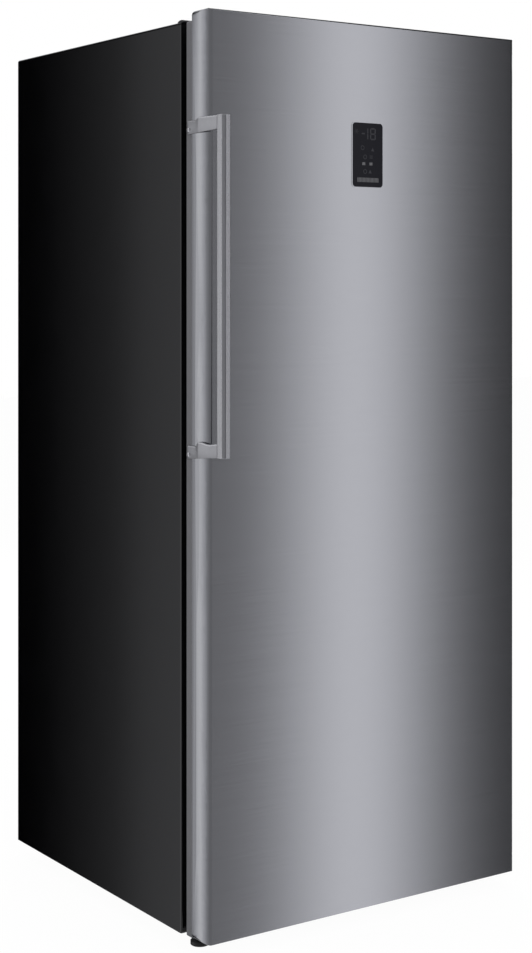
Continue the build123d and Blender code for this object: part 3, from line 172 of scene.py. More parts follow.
M = {
    "skin": surface(
        "skin_brushed", (0.355, 0.358, 0.375), rough=0.15, metallic=1.0, spread=0.03, scale=(5, 5, 900),
        rough_spread=0.015, bump=0.03, bump_scale=(12, 12, 2600), aniso=0.5, turn=0.25, detail=4,
    ),
    "bright": surface(
        "bright_brushed", (0.62, 0.62, 0.64), rough=0.27, metallic=1.0, spread=0.03, scale=(900, 900, 6),
        rough_spread=0.03, bump=0.05, bump_scale=(2600, 2600, 12), aniso=0.6, turn=0.0,
    ),
    # A slightly darker copy of the bar's brushed metal for its front faces: painted shade.
    "bar_front": surface(
        "bar_front_brushed", (0.60, 0.60, 0.625), rough=0.27, metallic=1.0, spread=0.03, scale=(900, 900, 6),
        rough_spread=0.03, bump=0.05, bump_scale=(2600, 2600, 12), aniso=0.6, turn=0.0,
    ),
    # A darker metal for the groove's floor strip: partly an inlay, partly painted shade of the recess.
    "inlay": surface(
        "bar_inlay", (0.33, 0.33, 0.345), rough=0.33, metallic=1.0, spread=0.04, scale=(700, 700, 8),
        rough_spread=0.03, bump=0.04, bump_scale=(2200, 2200, 14),
    ),
    "cast": surface(
        "bracket_cast", (0.44, 0.44, 0.458), rough=0.36, metallic=1.0, spread=0.05, scale=(90, 90, 90),
        rough_spread=0.04, bump=0.12, fine=1400,
    ),
    "side_paint": surface(
        "side_paint", (0.0006, 0.0006, 0.0009), rough=0.10, spread=0.12, scale=(14, 14, 14),
        rough_spread=0.01, bump=0.02, fine=700, specular=0.6,
    ),
    "dark_paint": surface(
        "dark_paint", (0.010, 0.010, 0.012), rough=0.40, spread=0.10, scale=(30, 30, 30), bump=0.12, fine=900,
        edge=0.4,
    ),
    "band": surface(
        "band_plastic", (0.135, 0.135, 0.145), rough=0.42, spread=0.04, scale=(60, 60, 60), bump=0.08,
        fine=1600,
    ),
    "dark_plastic": surface(
        "dark_plastic", (0.018, 0.018, 0.020), rough=0.48, spread=0.08, scale=(70, 70, 70), bump=0.15,
        fine=1500, edge=0.3,
    ),
    "gasket": surface(
        "gasket_rubber", (0.012, 0.012, 0.013), rough=0.62, spread=0.10, scale=(50, 50, 50), bump=0.10,
        fine=1200,
    ),
    "liner": surface(
        "liner_white", (0.82, 0.825, 0.83), rough=0.34, spread=0.012, scale=(3, 3, 3), rough_spread=0.02,
        bump=0.04, fine=900, detail=1.5,
    ),
    "foam": surface(
        "foam", (0.72, 0.62, 0.34), rough=0.85, spread=0.14, scale=(120, 120, 120), bump=0.6, fine=500
    ),
    "zinc": surface(
        "zinc_sheet", (0.46, 0.47, 0.49), rough=0.42, metallic=0.9, spread=0.05, scale=(110, 110, 110),
        rough_spread=0.05, bump=0.05, fine=420, detail=2, edge=0.2,
    ),
    "glass_black": surface(
        "panel_glass", (0.0034, 0.0034, 0.0062), rough=0.09, spread=0.05, scale=(40, 40, 40),
        rough_spread=0.02, specular=0.12,
    ),
    "clear": surface(
        "clear_tray", (0.93, 0.96, 0.98), rough=0.14, spread=0.015, scale=(20, 20, 20), rough_spread=0.03,
        transmission=0.84, ior=1.45, bump=0.03, fine=500,
    ),
    "pane": surface(
        "shelf_pane", (0.86, 0.95, 0.93), rough=0.05, spread=0.02, scale=(8, 8, 8), rough_spread=0.02,
        transmission=0.9, ior=1.5,
    ),
    "fin": surface(
        "aluminium_fin", (0.66, 0.67, 0.68), rough=0.33, metallic=1.0, spread=0.06, scale=(70, 70, 20),
        bump=0.06, fine=700,
    ),
    "copper": surface(
        "copper_line", (0.72, 0.34, 0.19), rough=0.28, metallic=1.0, spread=0.16, scale=(60, 60, 60),
        bump=0.04, fine=500,
    ),
    "fan": surface(
        "fan_plastic", (0.035, 0.035, 0.038), rough=0.40, spread=0.05, scale=(60, 60, 60), bump=0.08
    ),
    "can": surface(
        "compressor_black", (0.010, 0.010, 0.011), rough=0.22, spread=0.10, scale=(30, 30, 30), bump=0.14,
        fine=260, coat=0.4,
    ),
    "lamp": surface(
        "lamp_frost", (0.92, 0.94, 0.97), rough=0.35, spread=0.02, scale=(60, 60, 60), bump=0.1, glow=0.5
    ),
    "nylon": surface("nylon", (0.58, 0.58, 0.56), rough=0.45, spread=0.05, scale=(90, 90, 90), bump=0.08),
    "foot": surface(
        "foot_plastic", (0.014, 0.014, 0.015), rough=0.5, spread=0.1, scale=(90, 90, 90), bump=0.15
    ),
    "icon": surface(
        "panel_icon", (0.105, 0.105, 0.112), rough=0.4, spread=0.02, scale=(90, 90, 90), specular=0.2
    ),
    "icon_dim": surface(
        "panel_icon_dim", (0.030, 0.030, 0.035), rough=0.3, spread=0.02, scale=(90, 90, 90), specular=0.2
    ),
}

NODE_LOOK = {
    "cabinet_shell": "side_paint", "back_panel": "zinc", "base_pan": "zinc", "cabinet_foam": "foam",
    "inner_liner": "liner", "front_top_trim": "dark_plastic", "door_skin": "skin", "door_frame": "band",
    "door_top_cap": "dark_plastic", "door_liner": "liner", "door_foam": "foam", "door_gasket": "gasket",
    "display_housing": "dark_plastic", "display_panel": "glass_black", "handle_bar": "bright",
    "handle_bracket_upper": "cast", "handle_bracket_lower": "cast", "handle_screws": "bright",
    "top_hinge": "zinc", "bottom_hinge": "dark_paint", "hinge_bushes": "nylon", "hinge_screws": "zinc",
    "top_hinge_cover": "dark_plastic", "foot_front_left": "foot", "foot_front_right": "foot",
    "roller_left": "nylon", "roller_right": "nylon", "roller_brackets": "zinc", "roller_axles": "zinc",
    "compressor_deck": "zinc", "compressor_grommets": "gasket", "compressor": "can",
    "evaporation_tray": "dark_plastic", "condenser_coil": "fin", "condenser_fan_blades": "fan",
    "condenser_fan_motor": "zinc", "filter_drier": "copper", "refrigerant_lines": "copper",
    "control_box": "dark_plastic", "rear_cover": "dark_paint", "cover_screws": "zinc", "cord_gland": "gasket",
    "evaporator_cover": "liner", "evaporator_coil": "fin", "evaporator_fan_blades": "fan",
    "evaporator_fan_motor": "dark_plastic", "defrost_heater": "fin", "lamp_lens": "lamp",
    "shelf_glass": "pane", "drawer_lower": "clear", "drawer_upper": "clear", "drawer_rails": "liner",
    "shelf_1": "liner", "shelf_2": "liner", "shelf_3": "liner", "shelf_4": "liner", "door_bin_1": "clear",
    "door_bin_2": "clear", "door_bin_3": "clear", "door_bin_4": "clear",
}
for name, look in NODE_LOOK.items():
    obj = nodes[name]
    obj.data.materials.clear()
    obj.data.materials.append(M[look])


# ---------------------------------------------------------------- mesh tools


BIG_FACE = 0.002
BEVEL_FOLD = math.radians(35)
BEVEL_PROFILE = 0.6
MERGE = 0.001


def smooth_by_angle(obj, degrees=32):
    """Smooth shading with sharp edges where faces meet at more than an angle, and round each face larger
    than BIG_FACE (in square metres), so that it mirrors as a flat sheet does."""
    mesh = obj.data
    bm = bmesh.new()
    bm.from_mesh(mesh)
    limit = math.radians(degrees)
    for f in bm.faces:
        f.smooth = True
    for e in bm.edges:
        large = any(f.calc_area() > BIG_FACE for f in e.link_faces)
        e.smooth = len(e.link_faces) == 2 and e.calc_face_angle(0) < limit and not large
    bm.to_mesh(mesh)
    bm.free()


def finish_piece(bm, name, look, body, smooth=32, bevel=0.0):
    """Turns a bmesh in millimetres into a piece in metres that rides on a body."""
    bmesh.ops.remove_doubles(bm, verts=bm.verts, dist=MERGE)
    bmesh.ops.recalc_face_normals(bm, faces=bm.faces)
    if bevel:
        sharp = [e for e in bm.edges if len(e.link_faces) == 2 and e.calc_face_angle(0) > BEVEL_FOLD]
        bmesh.ops.bevel(
            bm, geom=sharp, offset=bevel, segments=2, affect="EDGES", profile=BEVEL_PROFILE,
            clamp_overlap=True,
        )
    bmesh.ops.scale(bm, vec=(MM, MM, MM), verts=bm.verts)
    mesh = bpy.data.meshes.new(name)
    bm.to_mesh(mesh)
    bm.free()
    obj = bpy.data.objects.new(name, mesh)
    scene.collection.objects.link(obj)
    mesh.materials.append(M[look])
    smooth_by_angle(obj, smooth)
    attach(obj, body)
    return obj


def add_box(bm, x, y, z):
    """A box between (low, high) pairs in x, y and z."""
    made = bmesh.ops.create_cube(bm, size=1)["verts"]
    size = (x[1] - x[0], y[1] - y[0], z[1] - z[0])
    middle = ((x[0] + x[1]) / 2, (y[0] + y[1]) / 2, (z[0] + z[1]) / 2)
    bmesh.ops.scale(bm, vec=size, verts=made)
    bmesh.ops.translate(bm, vec=middle, verts=made)


def add_prism(bm, outline, axis, low, high):
    """A prism over a 2D outline along axis 0, 1 or 2; the outline uses the other two axes in order."""
    others = [i for i in range(3) if i != axis]
    rings = []
    for level in (low, high):
        ring = []
        for u, v in outline:
            co = [0, 0, 0]
            co[axis], co[others[0]], co[others[1]] = level, u, v
            ring.append(bm.verts.new(co))
        rings.append(ring)
    n = len(outline)
    for i in range(n):
        bm.faces.new((rings[0][i], rings[0][(i + 1) % n], rings[1][(i + 1) % n], rings[1][i]))
    bm.faces.new(rings[0])
    bm.faces.new(list(reversed(rings[1])))


def add_frame(bm, outer, inner, front, back):
    """A flat ring between two outlines of as many points, upright, from one depth to another."""
    loops = [[bm.verts.new((x, y, z)) for x, z in line] for line, y in (
        (outer, front), (inner, front), (inner, back), (outer, back)
    )]
    n = len(outer)
    for a, b in zip(loops, loops[1:] + loops[:1]):
        for i in range(n):
            bm.faces.new((a[i], a[(i + 1) % n], b[(i + 1) % n], b[i]))


def add_lathe(bm, centre, axis, profile, steps):
    """A solid of revolution: profile is (radius, along) pairs that start and end on the axis."""
    axis = Vector(axis).normalized()
    side = axis.orthogonal().normalized()
    other = axis.cross(side)
    turns = [2 * math.pi * i / steps for i in range(steps)]
    spokes = [side * math.cos(t) + other * math.sin(t) for t in turns]
    centre = Vector(centre)
    rings = [
        [bm.verts.new(centre + axis * along + spoke * radius) for spoke in (spokes if radius else spokes[:1])]
        for radius, along in profile
    ]
    for a, b in zip(rings, rings[1:]):
        for i in range(steps):
            j = (i + 1) % steps
            if len(a) == 1:
                bm.faces.new((a[0], b[j], b[i]))
            elif len(b) == 1:
                bm.faces.new((a[i], a[j], b[0]))
            else:
                bm.faces.new((a[i], a[j], b[j], b[i]))


ROUND_STEPS = 8


def arc(cx, cy, r, start, steps):
    """A quarter turn's points round a centre, from an angle in degrees."""
    turns = [math.radians(start + 90 * i / steps) for i in range(steps + 1)]
    return [(cx + r * math.cos(t), cy + r * math.sin(t)) for t in turns]


def rounded(cx, cz, w, h, r):
    """A rectangle's outline with round corners."""
    return [
        point
        for qx, qz, start in ((1, 1, 0), (-1, 1, 90), (-1, -1, 180), (1, -1, 270))
        for point in arc(cx + qx * (w / 2 - r), cz + qz * (h / 2 - r), r, start, ROUND_STEPS)
    ]


# ---------------------------------------------------------------- places read from the frame, in mm


def limits(name):
    """A node's (low, high) pairs in x, y and z at rest, in millimetres."""
    low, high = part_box(name)
    return [(low[i] / MM, high[i] / MM) for i in range(3)]


_, (DOOR_FRONT, SKIN_BACK), (_, DOOR_TOP) = limits("door_skin")
(_, HALF), (CABINET_FRONT, _), (_, CABINET_TOP) = limits("cabinet_shell")
bar_x, bar_y, bar_z = limits("handle_bar")
(PANEL_LEFT, PANEL_RIGHT), (PANEL_FACE, _), (PANEL_LOW, PANEL_HIGH) = limits("display_panel")


# ---------------------------------------------------------------- CAD nodes with finer edges


NEAR = 0.02
ROLL = 3.2
ROLL_STEPS = 4
SAME_PLACE = 0.002
SAME_PLANE = math.radians(0.4)
ROLL_FOLD = math.radians(60)


def reworked(node, name, picks, look, body):
    """A copy of a CAD node's mesh with the picked edges rolled over; it stands for the node."""
    bm = bmesh.new()
    bm.from_mesh(nodes[node].data)
    bmesh.ops.scale(bm, vec=(1 / MM, 1 / MM, 1 / MM), verts=bm.verts)
    bmesh.ops.remove_doubles(bm, verts=bm.verts, dist=SAME_PLACE)
    bmesh.ops.dissolve_limit(bm, angle_limit=SAME_PLANE, verts=bm.verts, edges=bm.edges)
    folds = [e for e in bm.edges if len(e.link_faces) == 2 and e.calc_face_angle(0) > ROLL_FOLD]
    chosen = [e for e in folds if all(picks(*v.co) for v in e.verts)]
    bmesh.ops.bevel(
        bm, geom=chosen, offset=ROLL, segments=ROLL_STEPS, affect="EDGES", profile=0.5, clamp_overlap=False
    )
    piece = finish_piece(bm, name, look, body, smooth=25)
    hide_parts(node)


reworked(
    "door_skin", "skin_rolled",
    lambda x, y, z: z > DOOR_TOP - NEAR and y < SKIN_BACK - NEAR,
    "skin", "door",
)
reworked(
    "cabinet_shell", "shell_rolled",
    lambda x, y, z: y < CABINET_FRONT + NEAR and (abs(x) > HALF - NEAR or z > CABINET_TOP - NEAR),
    "side_paint", "cabinet",
)

# Radii of small rounded edges on the other sheet and moulded parts.
SOFT_EDGES = {
    "door_frame": 1.2, "front_top_trim": 1.0, "back_panel": 0.4, "rear_cover": 0.5, "base_pan": 0.5,
    "top_hinge": 0.6, "bottom_hinge": 0.6, "top_hinge_cover": 1.5, "compressor_deck": 0.5, "control_box": 1.2,
    "evaporation_tray": 0.8, "roller_brackets": 0.5, "display_panel": 0.25, "drawer_lower": 0.8,
    "drawer_upper": 0.8, "door_bin_1": 0.7, "door_bin_2": 0.7, "door_bin_3": 0.7, "door_bin_4": 0.7,
    "shelf_1": 1.0, "shelf_2": 1.0, "shelf_3": 1.0, "shelf_4": 1.0, "drawer_rails": 0.8, "door_liner": 1.5,
    "evaporator_cover": 0.8, "foot_front_left": 0.8, "foot_front_right": 0.8,
}
SOFT_FOLD = math.radians(40)
WELD = 1e-6
for name, width in SOFT_EDGES.items():
    weld = nodes[name].modifiers.new("weld", "WELD")
    weld.merge_threshold = WELD
    soften = nodes[name].modifiers.new("soften", "BEVEL")
    soften.width = width * MM
    soften.segments = 2
    soften.limit_method = "ANGLE"
    soften.angle_limit = SOFT_FOLD


# ---------------------------------------------------------------- handle


# The groove lies near the bar's left edge, with a dark strip at its bottom: partly an inlay, partly painted
# shade of the groove.
LIP, GROOVE, GROOVE_DEEP = 0.8, 7.4, 1.5
LIP_ROUND, BAR_ROUND, BAR_CATCH = 0.5, 1.5, 0.3
DARK_STRIP_UP, DARK_STRIP_IN, DARK_STRIP_END = 0.15, 0.3, 0.6
CORNER_STEPS = 4
FACES_FRONT = -0.9
lip_end = bar_x[0] + LIP
groove_end = lip_end + GROOVE
groove_floor = bar_y[0] + GROOVE_DEEP
left, right = bar_x[0] + BAR_ROUND, bar_x[1] - BAR_ROUND
near, far = bar_y[0] + BAR_ROUND, bar_y[1] - BAR_ROUND
section = [
    *arc(bar_x[0] + LIP_ROUND, bar_y[0] + LIP_ROUND, LIP_ROUND, 180, CORNER_STEPS),
    (lip_end, bar_y[0]),
    (lip_end, groove_floor),
    (groove_end, groove_floor),
    (groove_end, bar_y[0] + BAR_CATCH),
    (groove_end + BAR_CATCH, bar_y[0]),
    *arc(right, near, BAR_ROUND, 270, CORNER_STEPS),
    *arc(right, far, BAR_ROUND, 0, CORNER_STEPS),
    *arc(left, far, BAR_ROUND, 90, CORNER_STEPS),
]
bm = bmesh.new()
add_prism(bm, section, 2, *bar_z)
bar_piece = finish_piece(bm, "handle_bar_grooved", "bright", "door", smooth=40)
# The front faces right of the groove take the slightly darker copy of the bar's metal: painted shade.
bar_piece.data.materials.append(M["bar_front"])
for f in bar_piece.data.polygons:
    if f.normal.y < FACES_FRONT and f.center.x > groove_end * MM:
        f.material_index = 1
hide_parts("handle_bar")

# A darker metal strip on the groove's floor: partly an inlay, partly painted shade of the recess.
bm = bmesh.new()
add_box(
    bm, (lip_end, groove_end), (groove_floor - DARK_STRIP_UP, groove_floor + DARK_STRIP_IN),
    (bar_z[0] + DARK_STRIP_END, bar_z[1] - DARK_STRIP_END),
)
finish_piece(bm, "handle_bar_inlay", "inlay", "door", bevel=0.1)

# The strap's thickness and height, the arm's root on the bar, where its outer face is round the door's
# corner (from the door's front), and the run over which its inner face comes round.
STRAP, STRAP_HEIGHT = 2.5, 24.0
ARM_ROOT = 12.0
SIDE_TURN, CORNER_BEND = 21.0, 16.5
TAB_FALL, TAB_ROUND = 9.0, 4.0
DIP_PACE, LOWER_DIP = 1.1, 2.6
# The upper edge's painted highlight: how far its brighter band reaches down and in, and its small rounds.
CATCH, CATCH_IN = 2.6, 1.3
EDGE_IN, EDGE_LOW, EDGE_MID, EDGE_HIGH = 0.5, 0.7, 0.35, 0.7
BRACKET_STEPS = 44
CAST, PAINTED_GLINT = 0, 1


def bracket(node, name, arm_low, dip):
    """A cast strap from the bar's back to the door's side; its tab stands lower than its arm, and its upper
    edge, which may dip, carries a painted highlight in a brighter metal."""
    (x0, _), (y_arm, y_tab), (z_low, _) = limits(node)
    arm_high = arm_low + STRAP_HEIGHT
    drop = arm_low - z_low
    y_turn = DOOR_FRONT + SIDE_TURN
    root = bar_x[0] + ARM_ROOT
    bend = STRAP - HALF
    bm = bmesh.new()
    rings = []
    for i in range(BRACKET_STEPS + 1):
        way = i / BRACKET_STEPS
        y = y_arm + (y_tab - y_arm) * way
        if y < y_turn:
            t = (y - y_arm) / (y_turn - y_arm)
            out = bar_x[0] + (x0 - bar_x[0]) * t
            top = arm_high - dip * math.sin(math.pi * min(1, t * DIP_PACE)) ** 2
        else:
            out = x0
            t = min(1, (y - y_turn) / TAB_FALL)
            # An easy S-shaped fall.
            top = arm_high - drop * (3 * t ** 2 - 2 * t ** 3)
        t = (y - y_arm) / (DOOR_FRONT - STRAP - y_arm)
        if t < 1:
            inner = root + (bend - root) * t
        else:
            inner = max(-HALF, bend - (y - DOOR_FRONT + STRAP) * STRAP / CORNER_BEND)
        low = arm_low - drop * way
        t = (y_tab - y) / TAB_ROUND
        if t < 1:
            pull = TAB_ROUND * (1 - math.sqrt(max(0, 1 - (1 - t) ** 2)))
            low, top = low + pull, top - pull
        edge = (
            (out + EDGE_IN, low), (out, low + EDGE_LOW), (out, top - CATCH),
            (out + EDGE_MID, top - EDGE_HIGH), (out + CATCH_IN, top), (inner, top), (inner, low),
        )
        rings.append([bm.verts.new((x, y, z)) for x, z in edge])
    around = len(rings[0])
    for a, b in zip(rings, rings[1:]):
        for k in range(around):
            f = bm.faces.new((a[k], a[(k + 1) % around], b[(k + 1) % around], b[k]))
            # The upper edge's two faces take the brighter metal: a painted highlight.
            f.material_index = PAINTED_GLINT if k in (2, 3) else CAST
    bm.faces.new(rings[0])
    bm.faces.new(list(reversed(rings[-1])))
    piece = finish_piece(bm, name, "cast", "door", smooth=38)
    piece.data.materials.append(M["bright"])
    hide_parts(node)


bracket("handle_bracket_upper", "bracket_cast_upper", bar_z[1] - STRAP_HEIGHT, 0.0)
bracket("handle_bracket_lower", "bracket_cast_lower", bar_z[0], LOWER_DIP)

# Pan heads with a round recess, as (radius, depth) from the face of the head.
HEAD, SHANK = 4.5, 2.2
HEAD_PROFILE = [
    (0, 0.9), (1.1, 0.9), (1.2, 0.1), (1.5, 0), (3.2, 0.2), (4.1, 0.8), (HEAD, 1.7), (HEAD, 2.4),
    (SHANK, 2.4), (SHANK, 4.6), (0, 4.6),
]
HEAD_STEPS = 24
(head_x, _), screw_y, screw_z = limits("handle_screws")
bm = bmesh.new()
for z in (screw_z[0] + HEAD, screw_z[1] - HEAD):
    add_lathe(bm, (head_x, sum(screw_y) / 2, z), (1, 0, 0), HEAD_PROFILE, HEAD_STEPS)
screws = finish_piece(bm, "handle_screw_heads", "bright", "door", smooth=30)
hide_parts("handle_screws")


# ---------------------------------------------------------------- display


# The signs are printed on the glass, so they are very thin.
PRINT_PROUD, PRINT_IN = 0.06, 0.1
PRINT = (PANEL_FACE - PRINT_PROUD, PANEL_FACE + PRINT_IN)
PANEL_W, PANEL_H = PANEL_RIGHT - PANEL_LEFT, PANEL_HIGH - PANEL_LOW


def on_panel(across, down):
    """A place on the panel from its upper left corner, as shares of its width and height."""
    return PANEL_LEFT + across * PANEL_W, PANEL_HIGH - down * PANEL_H


def print_bar(bm, place, xs, zs):
    """A printed bar, from (low, high) pairs about a place."""
    x, z = place
    add_box(bm, (x + xs[0], x + xs[1]), PRINT, (z + zs[0], z + zs[1]))


def print_shape(bm, place, outline):
    """A printed shape with its outline about a place."""
    add_prism(bm, [(place[0] + u, place[1] + v) for u, v in outline], 1, *PRINT)


DIGIT_W, DIGIT_H, SEGMENT = 13.0, 22.0, 2.6
DIGIT_STEP = 17.0
DIGITS_AT = (0.34, 0.265)
MINUS = ((-2.0, 5.0), (9.8, 12.2))


def seven_segment(bm, x, z, lit):
    """A digit from its lower left corner; lit names its segments, a at the top, then clockwise, g inside."""
    middle = DIGIT_H / 2
    level = (SEGMENT, DIGIT_W - SEGMENT)
    left, right = (0, SEGMENT), (DIGIT_W - SEGMENT, DIGIT_W)
    lower, upper = (SEGMENT / 2, middle - SEGMENT / 4), (middle + SEGMENT / 4, DIGIT_H - SEGMENT / 2)
    bars = {
        "a": (level, (DIGIT_H - SEGMENT, DIGIT_H)),
        "b": (right, upper),
        "c": (right, lower),
        "d": (level, (0, SEGMENT)),
        "e": (left, lower),
        "f": (left, upper),
        "g": (level, (middle - SEGMENT / 2, middle + SEGMENT / 2)),
    }
    for key in lit:
        print_bar(bm, (x, z), *bars[key])


bm = bmesh.new()
x, z = on_panel(*DIGITS_AT)
seven_segment(bm, x, z, "bc")
seven_segment(bm, x + DIGIT_STEP, z, "abcdefg")
print_bar(bm, (x, z), *MINUS)
finish_piece(bm, "display_digits", "icon_dim", "door", smooth=20)

# Symbols at their places on the panel: a star, rings, triangles and a stack of bars.
STAR_AT, STAR_ARMS = (0.15, 0.14), 6
STAR_ARM = [(0.4, -0.3), (4.6, -0.5), (4.6, 0.5), (0.4, 0.3)]
RINGS_AT = ((0.34, 0.39), (0.42, 0.53), (0.42, 0.755))
RING_OUT, RING_IN, RING_STEPS = 4.2, 3.0, 18
TRIANGLES_AT = ((0.66, 0.41), (0.58, 0.755))
TRIANGLE = [(-3.6, -3.2), (3.6, -3.2), (0, 3.4)]
STACK_AT, STACK_BARS, STACK_STEP = (0.61, 0.53), 3, 2.2
STACK_X, STACK_Z = (-3.4, 3.4), (-2.6, -1.6)
bm = bmesh.new()
for k in range(STAR_ARMS):
    c, s = math.cos(2 * math.pi * k / STAR_ARMS), math.sin(2 * math.pi * k / STAR_ARMS)
    print_shape(bm, on_panel(*STAR_AT), [(u * c - v * s, u * s + v * c) for u, v in STAR_ARM])
for place in RINGS_AT:
    x, z = on_panel(*place)
    turns = [2 * math.pi * i / RING_STEPS for i in range(RING_STEPS)]
    circles = [[(x + r * math.cos(t), z + r * math.sin(t)) for t in turns] for r in (RING_OUT, RING_IN)]
    add_frame(bm, *circles, *PRINT)
for place in TRIANGLES_AT:
    print_shape(bm, on_panel(*place), TRIANGLE)
for k in range(STACK_BARS):
    print_bar(bm, on_panel(*STACK_AT), STACK_X, [z + STACK_STEP * k for z in STACK_Z])
finish_piece(bm, "display_icons", "icon_dim", "door", smooth=20)

# Two keys, and a touch strip of ticks under them.
KEYS_AT = ((0.375, 0.635), (0.605, 0.635))
KEY_X, KEY_Z = (-3.4, 3.4), (-2.6, 2.6)
TICKS, STRIP_FROM, STRIP_ACROSS, STRIP_DOWN = 16, 0.19, 0.64, 0.885
TICK_X, TICK_Z = (-1.0, 1.0), (-4.0, 4.0)
bm = bmesh.new()
for place in KEYS_AT:
    print_bar(bm, on_panel(*place), KEY_X, KEY_Z)
for k in range(TICKS):
    print_bar(bm, on_panel(STRIP_FROM + STRIP_ACROSS * k / (TICKS - 1), STRIP_DOWN), TICK_X, TICK_Z)
finish_piece(bm, "display_keys", "icon", "door", smooth=20)

# A slim brushed bezel laps the glass and the window's edge.
BEZEL_OUT, BEZEL_LAP_SIDE, BEZEL_LAP_END = 0.8, 1.4, 0.5
BEZEL_ROUND_OUT, BEZEL_ROUND_IN = 8.1, 6.6
BEZEL_PROUD, BEZEL_SEAT = 0.12, 0.2
panel_x, panel_z = on_panel(0.5, 0.5)
outer = rounded(panel_x, panel_z, PANEL_W + 2 * BEZEL_OUT, PANEL_H + 2 * BEZEL_OUT, BEZEL_ROUND_OUT)
inner = rounded(
    panel_x, panel_z, PANEL_W - 2 * BEZEL_LAP_SIDE, PANEL_H - 2 * BEZEL_LAP_END, BEZEL_ROUND_IN
)
bm = bmesh.new()
add_frame(bm, outer, inner, PANEL_FACE - BEZEL_PROUD, DOOR_FRONT + BEZEL_SEAT)
finish_piece(bm, "display_rim", "skin", "door", smooth=40)


# ---------------------------------------------------------------- inside and behind


# A bright ring round each drawer's grip opening.
GRIP_DROP, GRIP_W, GRIP_H = 36.0, 140.0, 26.0
GRIP_RIM, GRIP_LAP = 6.0, 0.5
GRIP_PROUD, GRIP_SEAT = 1.4, 2.2
for name in ("drawer_lower", "drawer_upper"):
    _, (front, _), (_, top) = limits(name)
    outlines = [
        rounded(0, top - GRIP_DROP, GRIP_W + 2 * out, GRIP_H + 2 * out, GRIP_H / 2 + out)
        for out in (GRIP_RIM, -GRIP_LAP)
    ]
    bm = bmesh.new()
    add_frame(bm, *outlines, front - GRIP_PROUD, front + GRIP_SEAT)
    finish_piece(bm, name + "_grip", "fin", name, smooth=30, bevel=0.5)

# Trims on the shelves' fronts: (behind the front, from the edge) points of the lower half, and the belly.
TRIM_HALF = [(0.6, 0.8), (-1.2, 1.4), (-2.2, 4.0)]
TRIM_BELLY, TRIM_END = -2.6, 1.5
for n in range(1, 5):
    (x0, x1), (front, _), (z0, z1) = limits(f"shelf_{n}")
    lower = [(front + y, z0 + z) for y, z in TRIM_HALF]
    upper = [(front + y, z1 - z) for y, z in reversed(TRIM_HALF)]
    bm = bmesh.new()
    add_prism(bm, [*lower, (front + TRIM_BELLY, (z0 + z1) / 2), *upper], 0, x0 + TRIM_END, x1 - TRIM_END)
    finish_piece(bm, f"shelf_trim_{n}", "fin", "cabinet", smooth=40, bevel=0.3)

# Pressed beads stiffen the back sheet; their section is (across, out of the sheet).
BEADS, BEAD_FIRST, BEAD_STEP = 6, -270.0, 108.0
BEAD_SECTION = [(-9, -0.3), (-4, 1.7), (4, 1.7), (9, -0.3)]
BEAD_END = 70.0
_, (_, sheet_back), (sheet_low, sheet_high) = limits("back_panel")
bm = bmesh.new()
for n in range(BEADS):
    bead = [(BEAD_FIRST + BEAD_STEP * n + x, sheet_back + y) for x, y in BEAD_SECTION]
    add_prism(bm, bead, 2, sheet_low + BEAD_END, sheet_high - BEAD_END)
finish_piece(bm, "back_panel_beads", "zinc", "cabinet", smooth=50, bevel=0.8)


# ---------------------------------------------------------------- studio and camera, in metres


WALL_RADIUS = 4.0
WALL_LOW, WALL_HIGH = -6.0, 8.5
WALL_STEP = 4
WALL_TINT = (0.985, 0.99, 1.03)
LEAST_FADE = 0.001


def studio_wall(name, levels, dim_from=1.0, dim_to=1.0, dim=1.0):
    """A curved grey card round the object that only reflections see. levels are (azimuth, level) stops;
    azimuth 0 is in front and rises to the right. Between two shares of its height it may dim."""
    first, last = levels[0][0], levels[-1][0]
    steps = max(2, round((last - first) / WALL_STEP))
    bm = bmesh.new()
    uv = bm.loops.layers.uv.new("UVMap")
    columns = []
    for i in range(steps + 1):
        a = math.radians(first + (last - first) * i / steps)
        x, y = WALL_RADIUS * math.sin(a), -WALL_RADIUS * math.cos(a)
        columns.append([bm.verts.new((x, y, z)) for z in (WALL_LOW, WALL_HIGH)])
    for i, (a, b) in enumerate(zip(columns, columns[1:])):
        f = bm.faces.new((a[0], b[0], b[1], a[1]))
        for loop, (column, level) in zip(f.loops, ((i, 0), (i + 1, 0), (i + 1, 1), (i, 1))):
            loop[uv].uv = (column / steps, level)
    mesh = bpy.data.meshes.new(name)
    bm.to_mesh(mesh)
    bm.free()
    card = bpy.data.objects.new(name, mesh)
    scene.collection.objects.link(card)
    m, add, link = new_material(name)
    out = add("ShaderNodeOutputMaterial")
    shine = add("ShaderNodeEmission")
    place = add("ShaderNodeUVMap", _uv_map="UVMap")
    split = add("ShaderNodeSeparateXYZ")
    link(place.outputs[0], split.inputs[0])
    ramp = add("ShaderNodeValToRGB")
    ramp.color_ramp.interpolation = "LINEAR"
    top = max(level for _, level in levels)
    stops = ramp.color_ramp.elements
    stops.remove(stops[-1])
    for i, (azimuth, level) in enumerate(levels):
        share = (azimuth - first) / (last - first)
        stop = stops[0] if i == 0 else stops.new(share)
        stop.position = share
        stop.color = (*(min(1, tint * level / top) for tint in WALL_TINT), 1)
    link(split.outputs["X"], ramp.inputs[0])
    fade = add(
        "ShaderNodeMapRange", From_Min=dim_from, From_Max=dim_to + LEAST_FADE, To_Min=top, To_Max=top * dim
    )
    link(split.outputs["Y"], fade.inputs["Value"])
    link(fade.outputs["Result"], shine.inputs["Strength"])
    link(ramp.outputs[0], shine.inputs["Color"])
    link(shine.outputs[0], out.inputs["Surface"])
    mesh.materials.append(m)
    card.visible_camera = False
    card.visible_diffuse = False
    card.visible_shadow = False
    card.visible_transmission = False


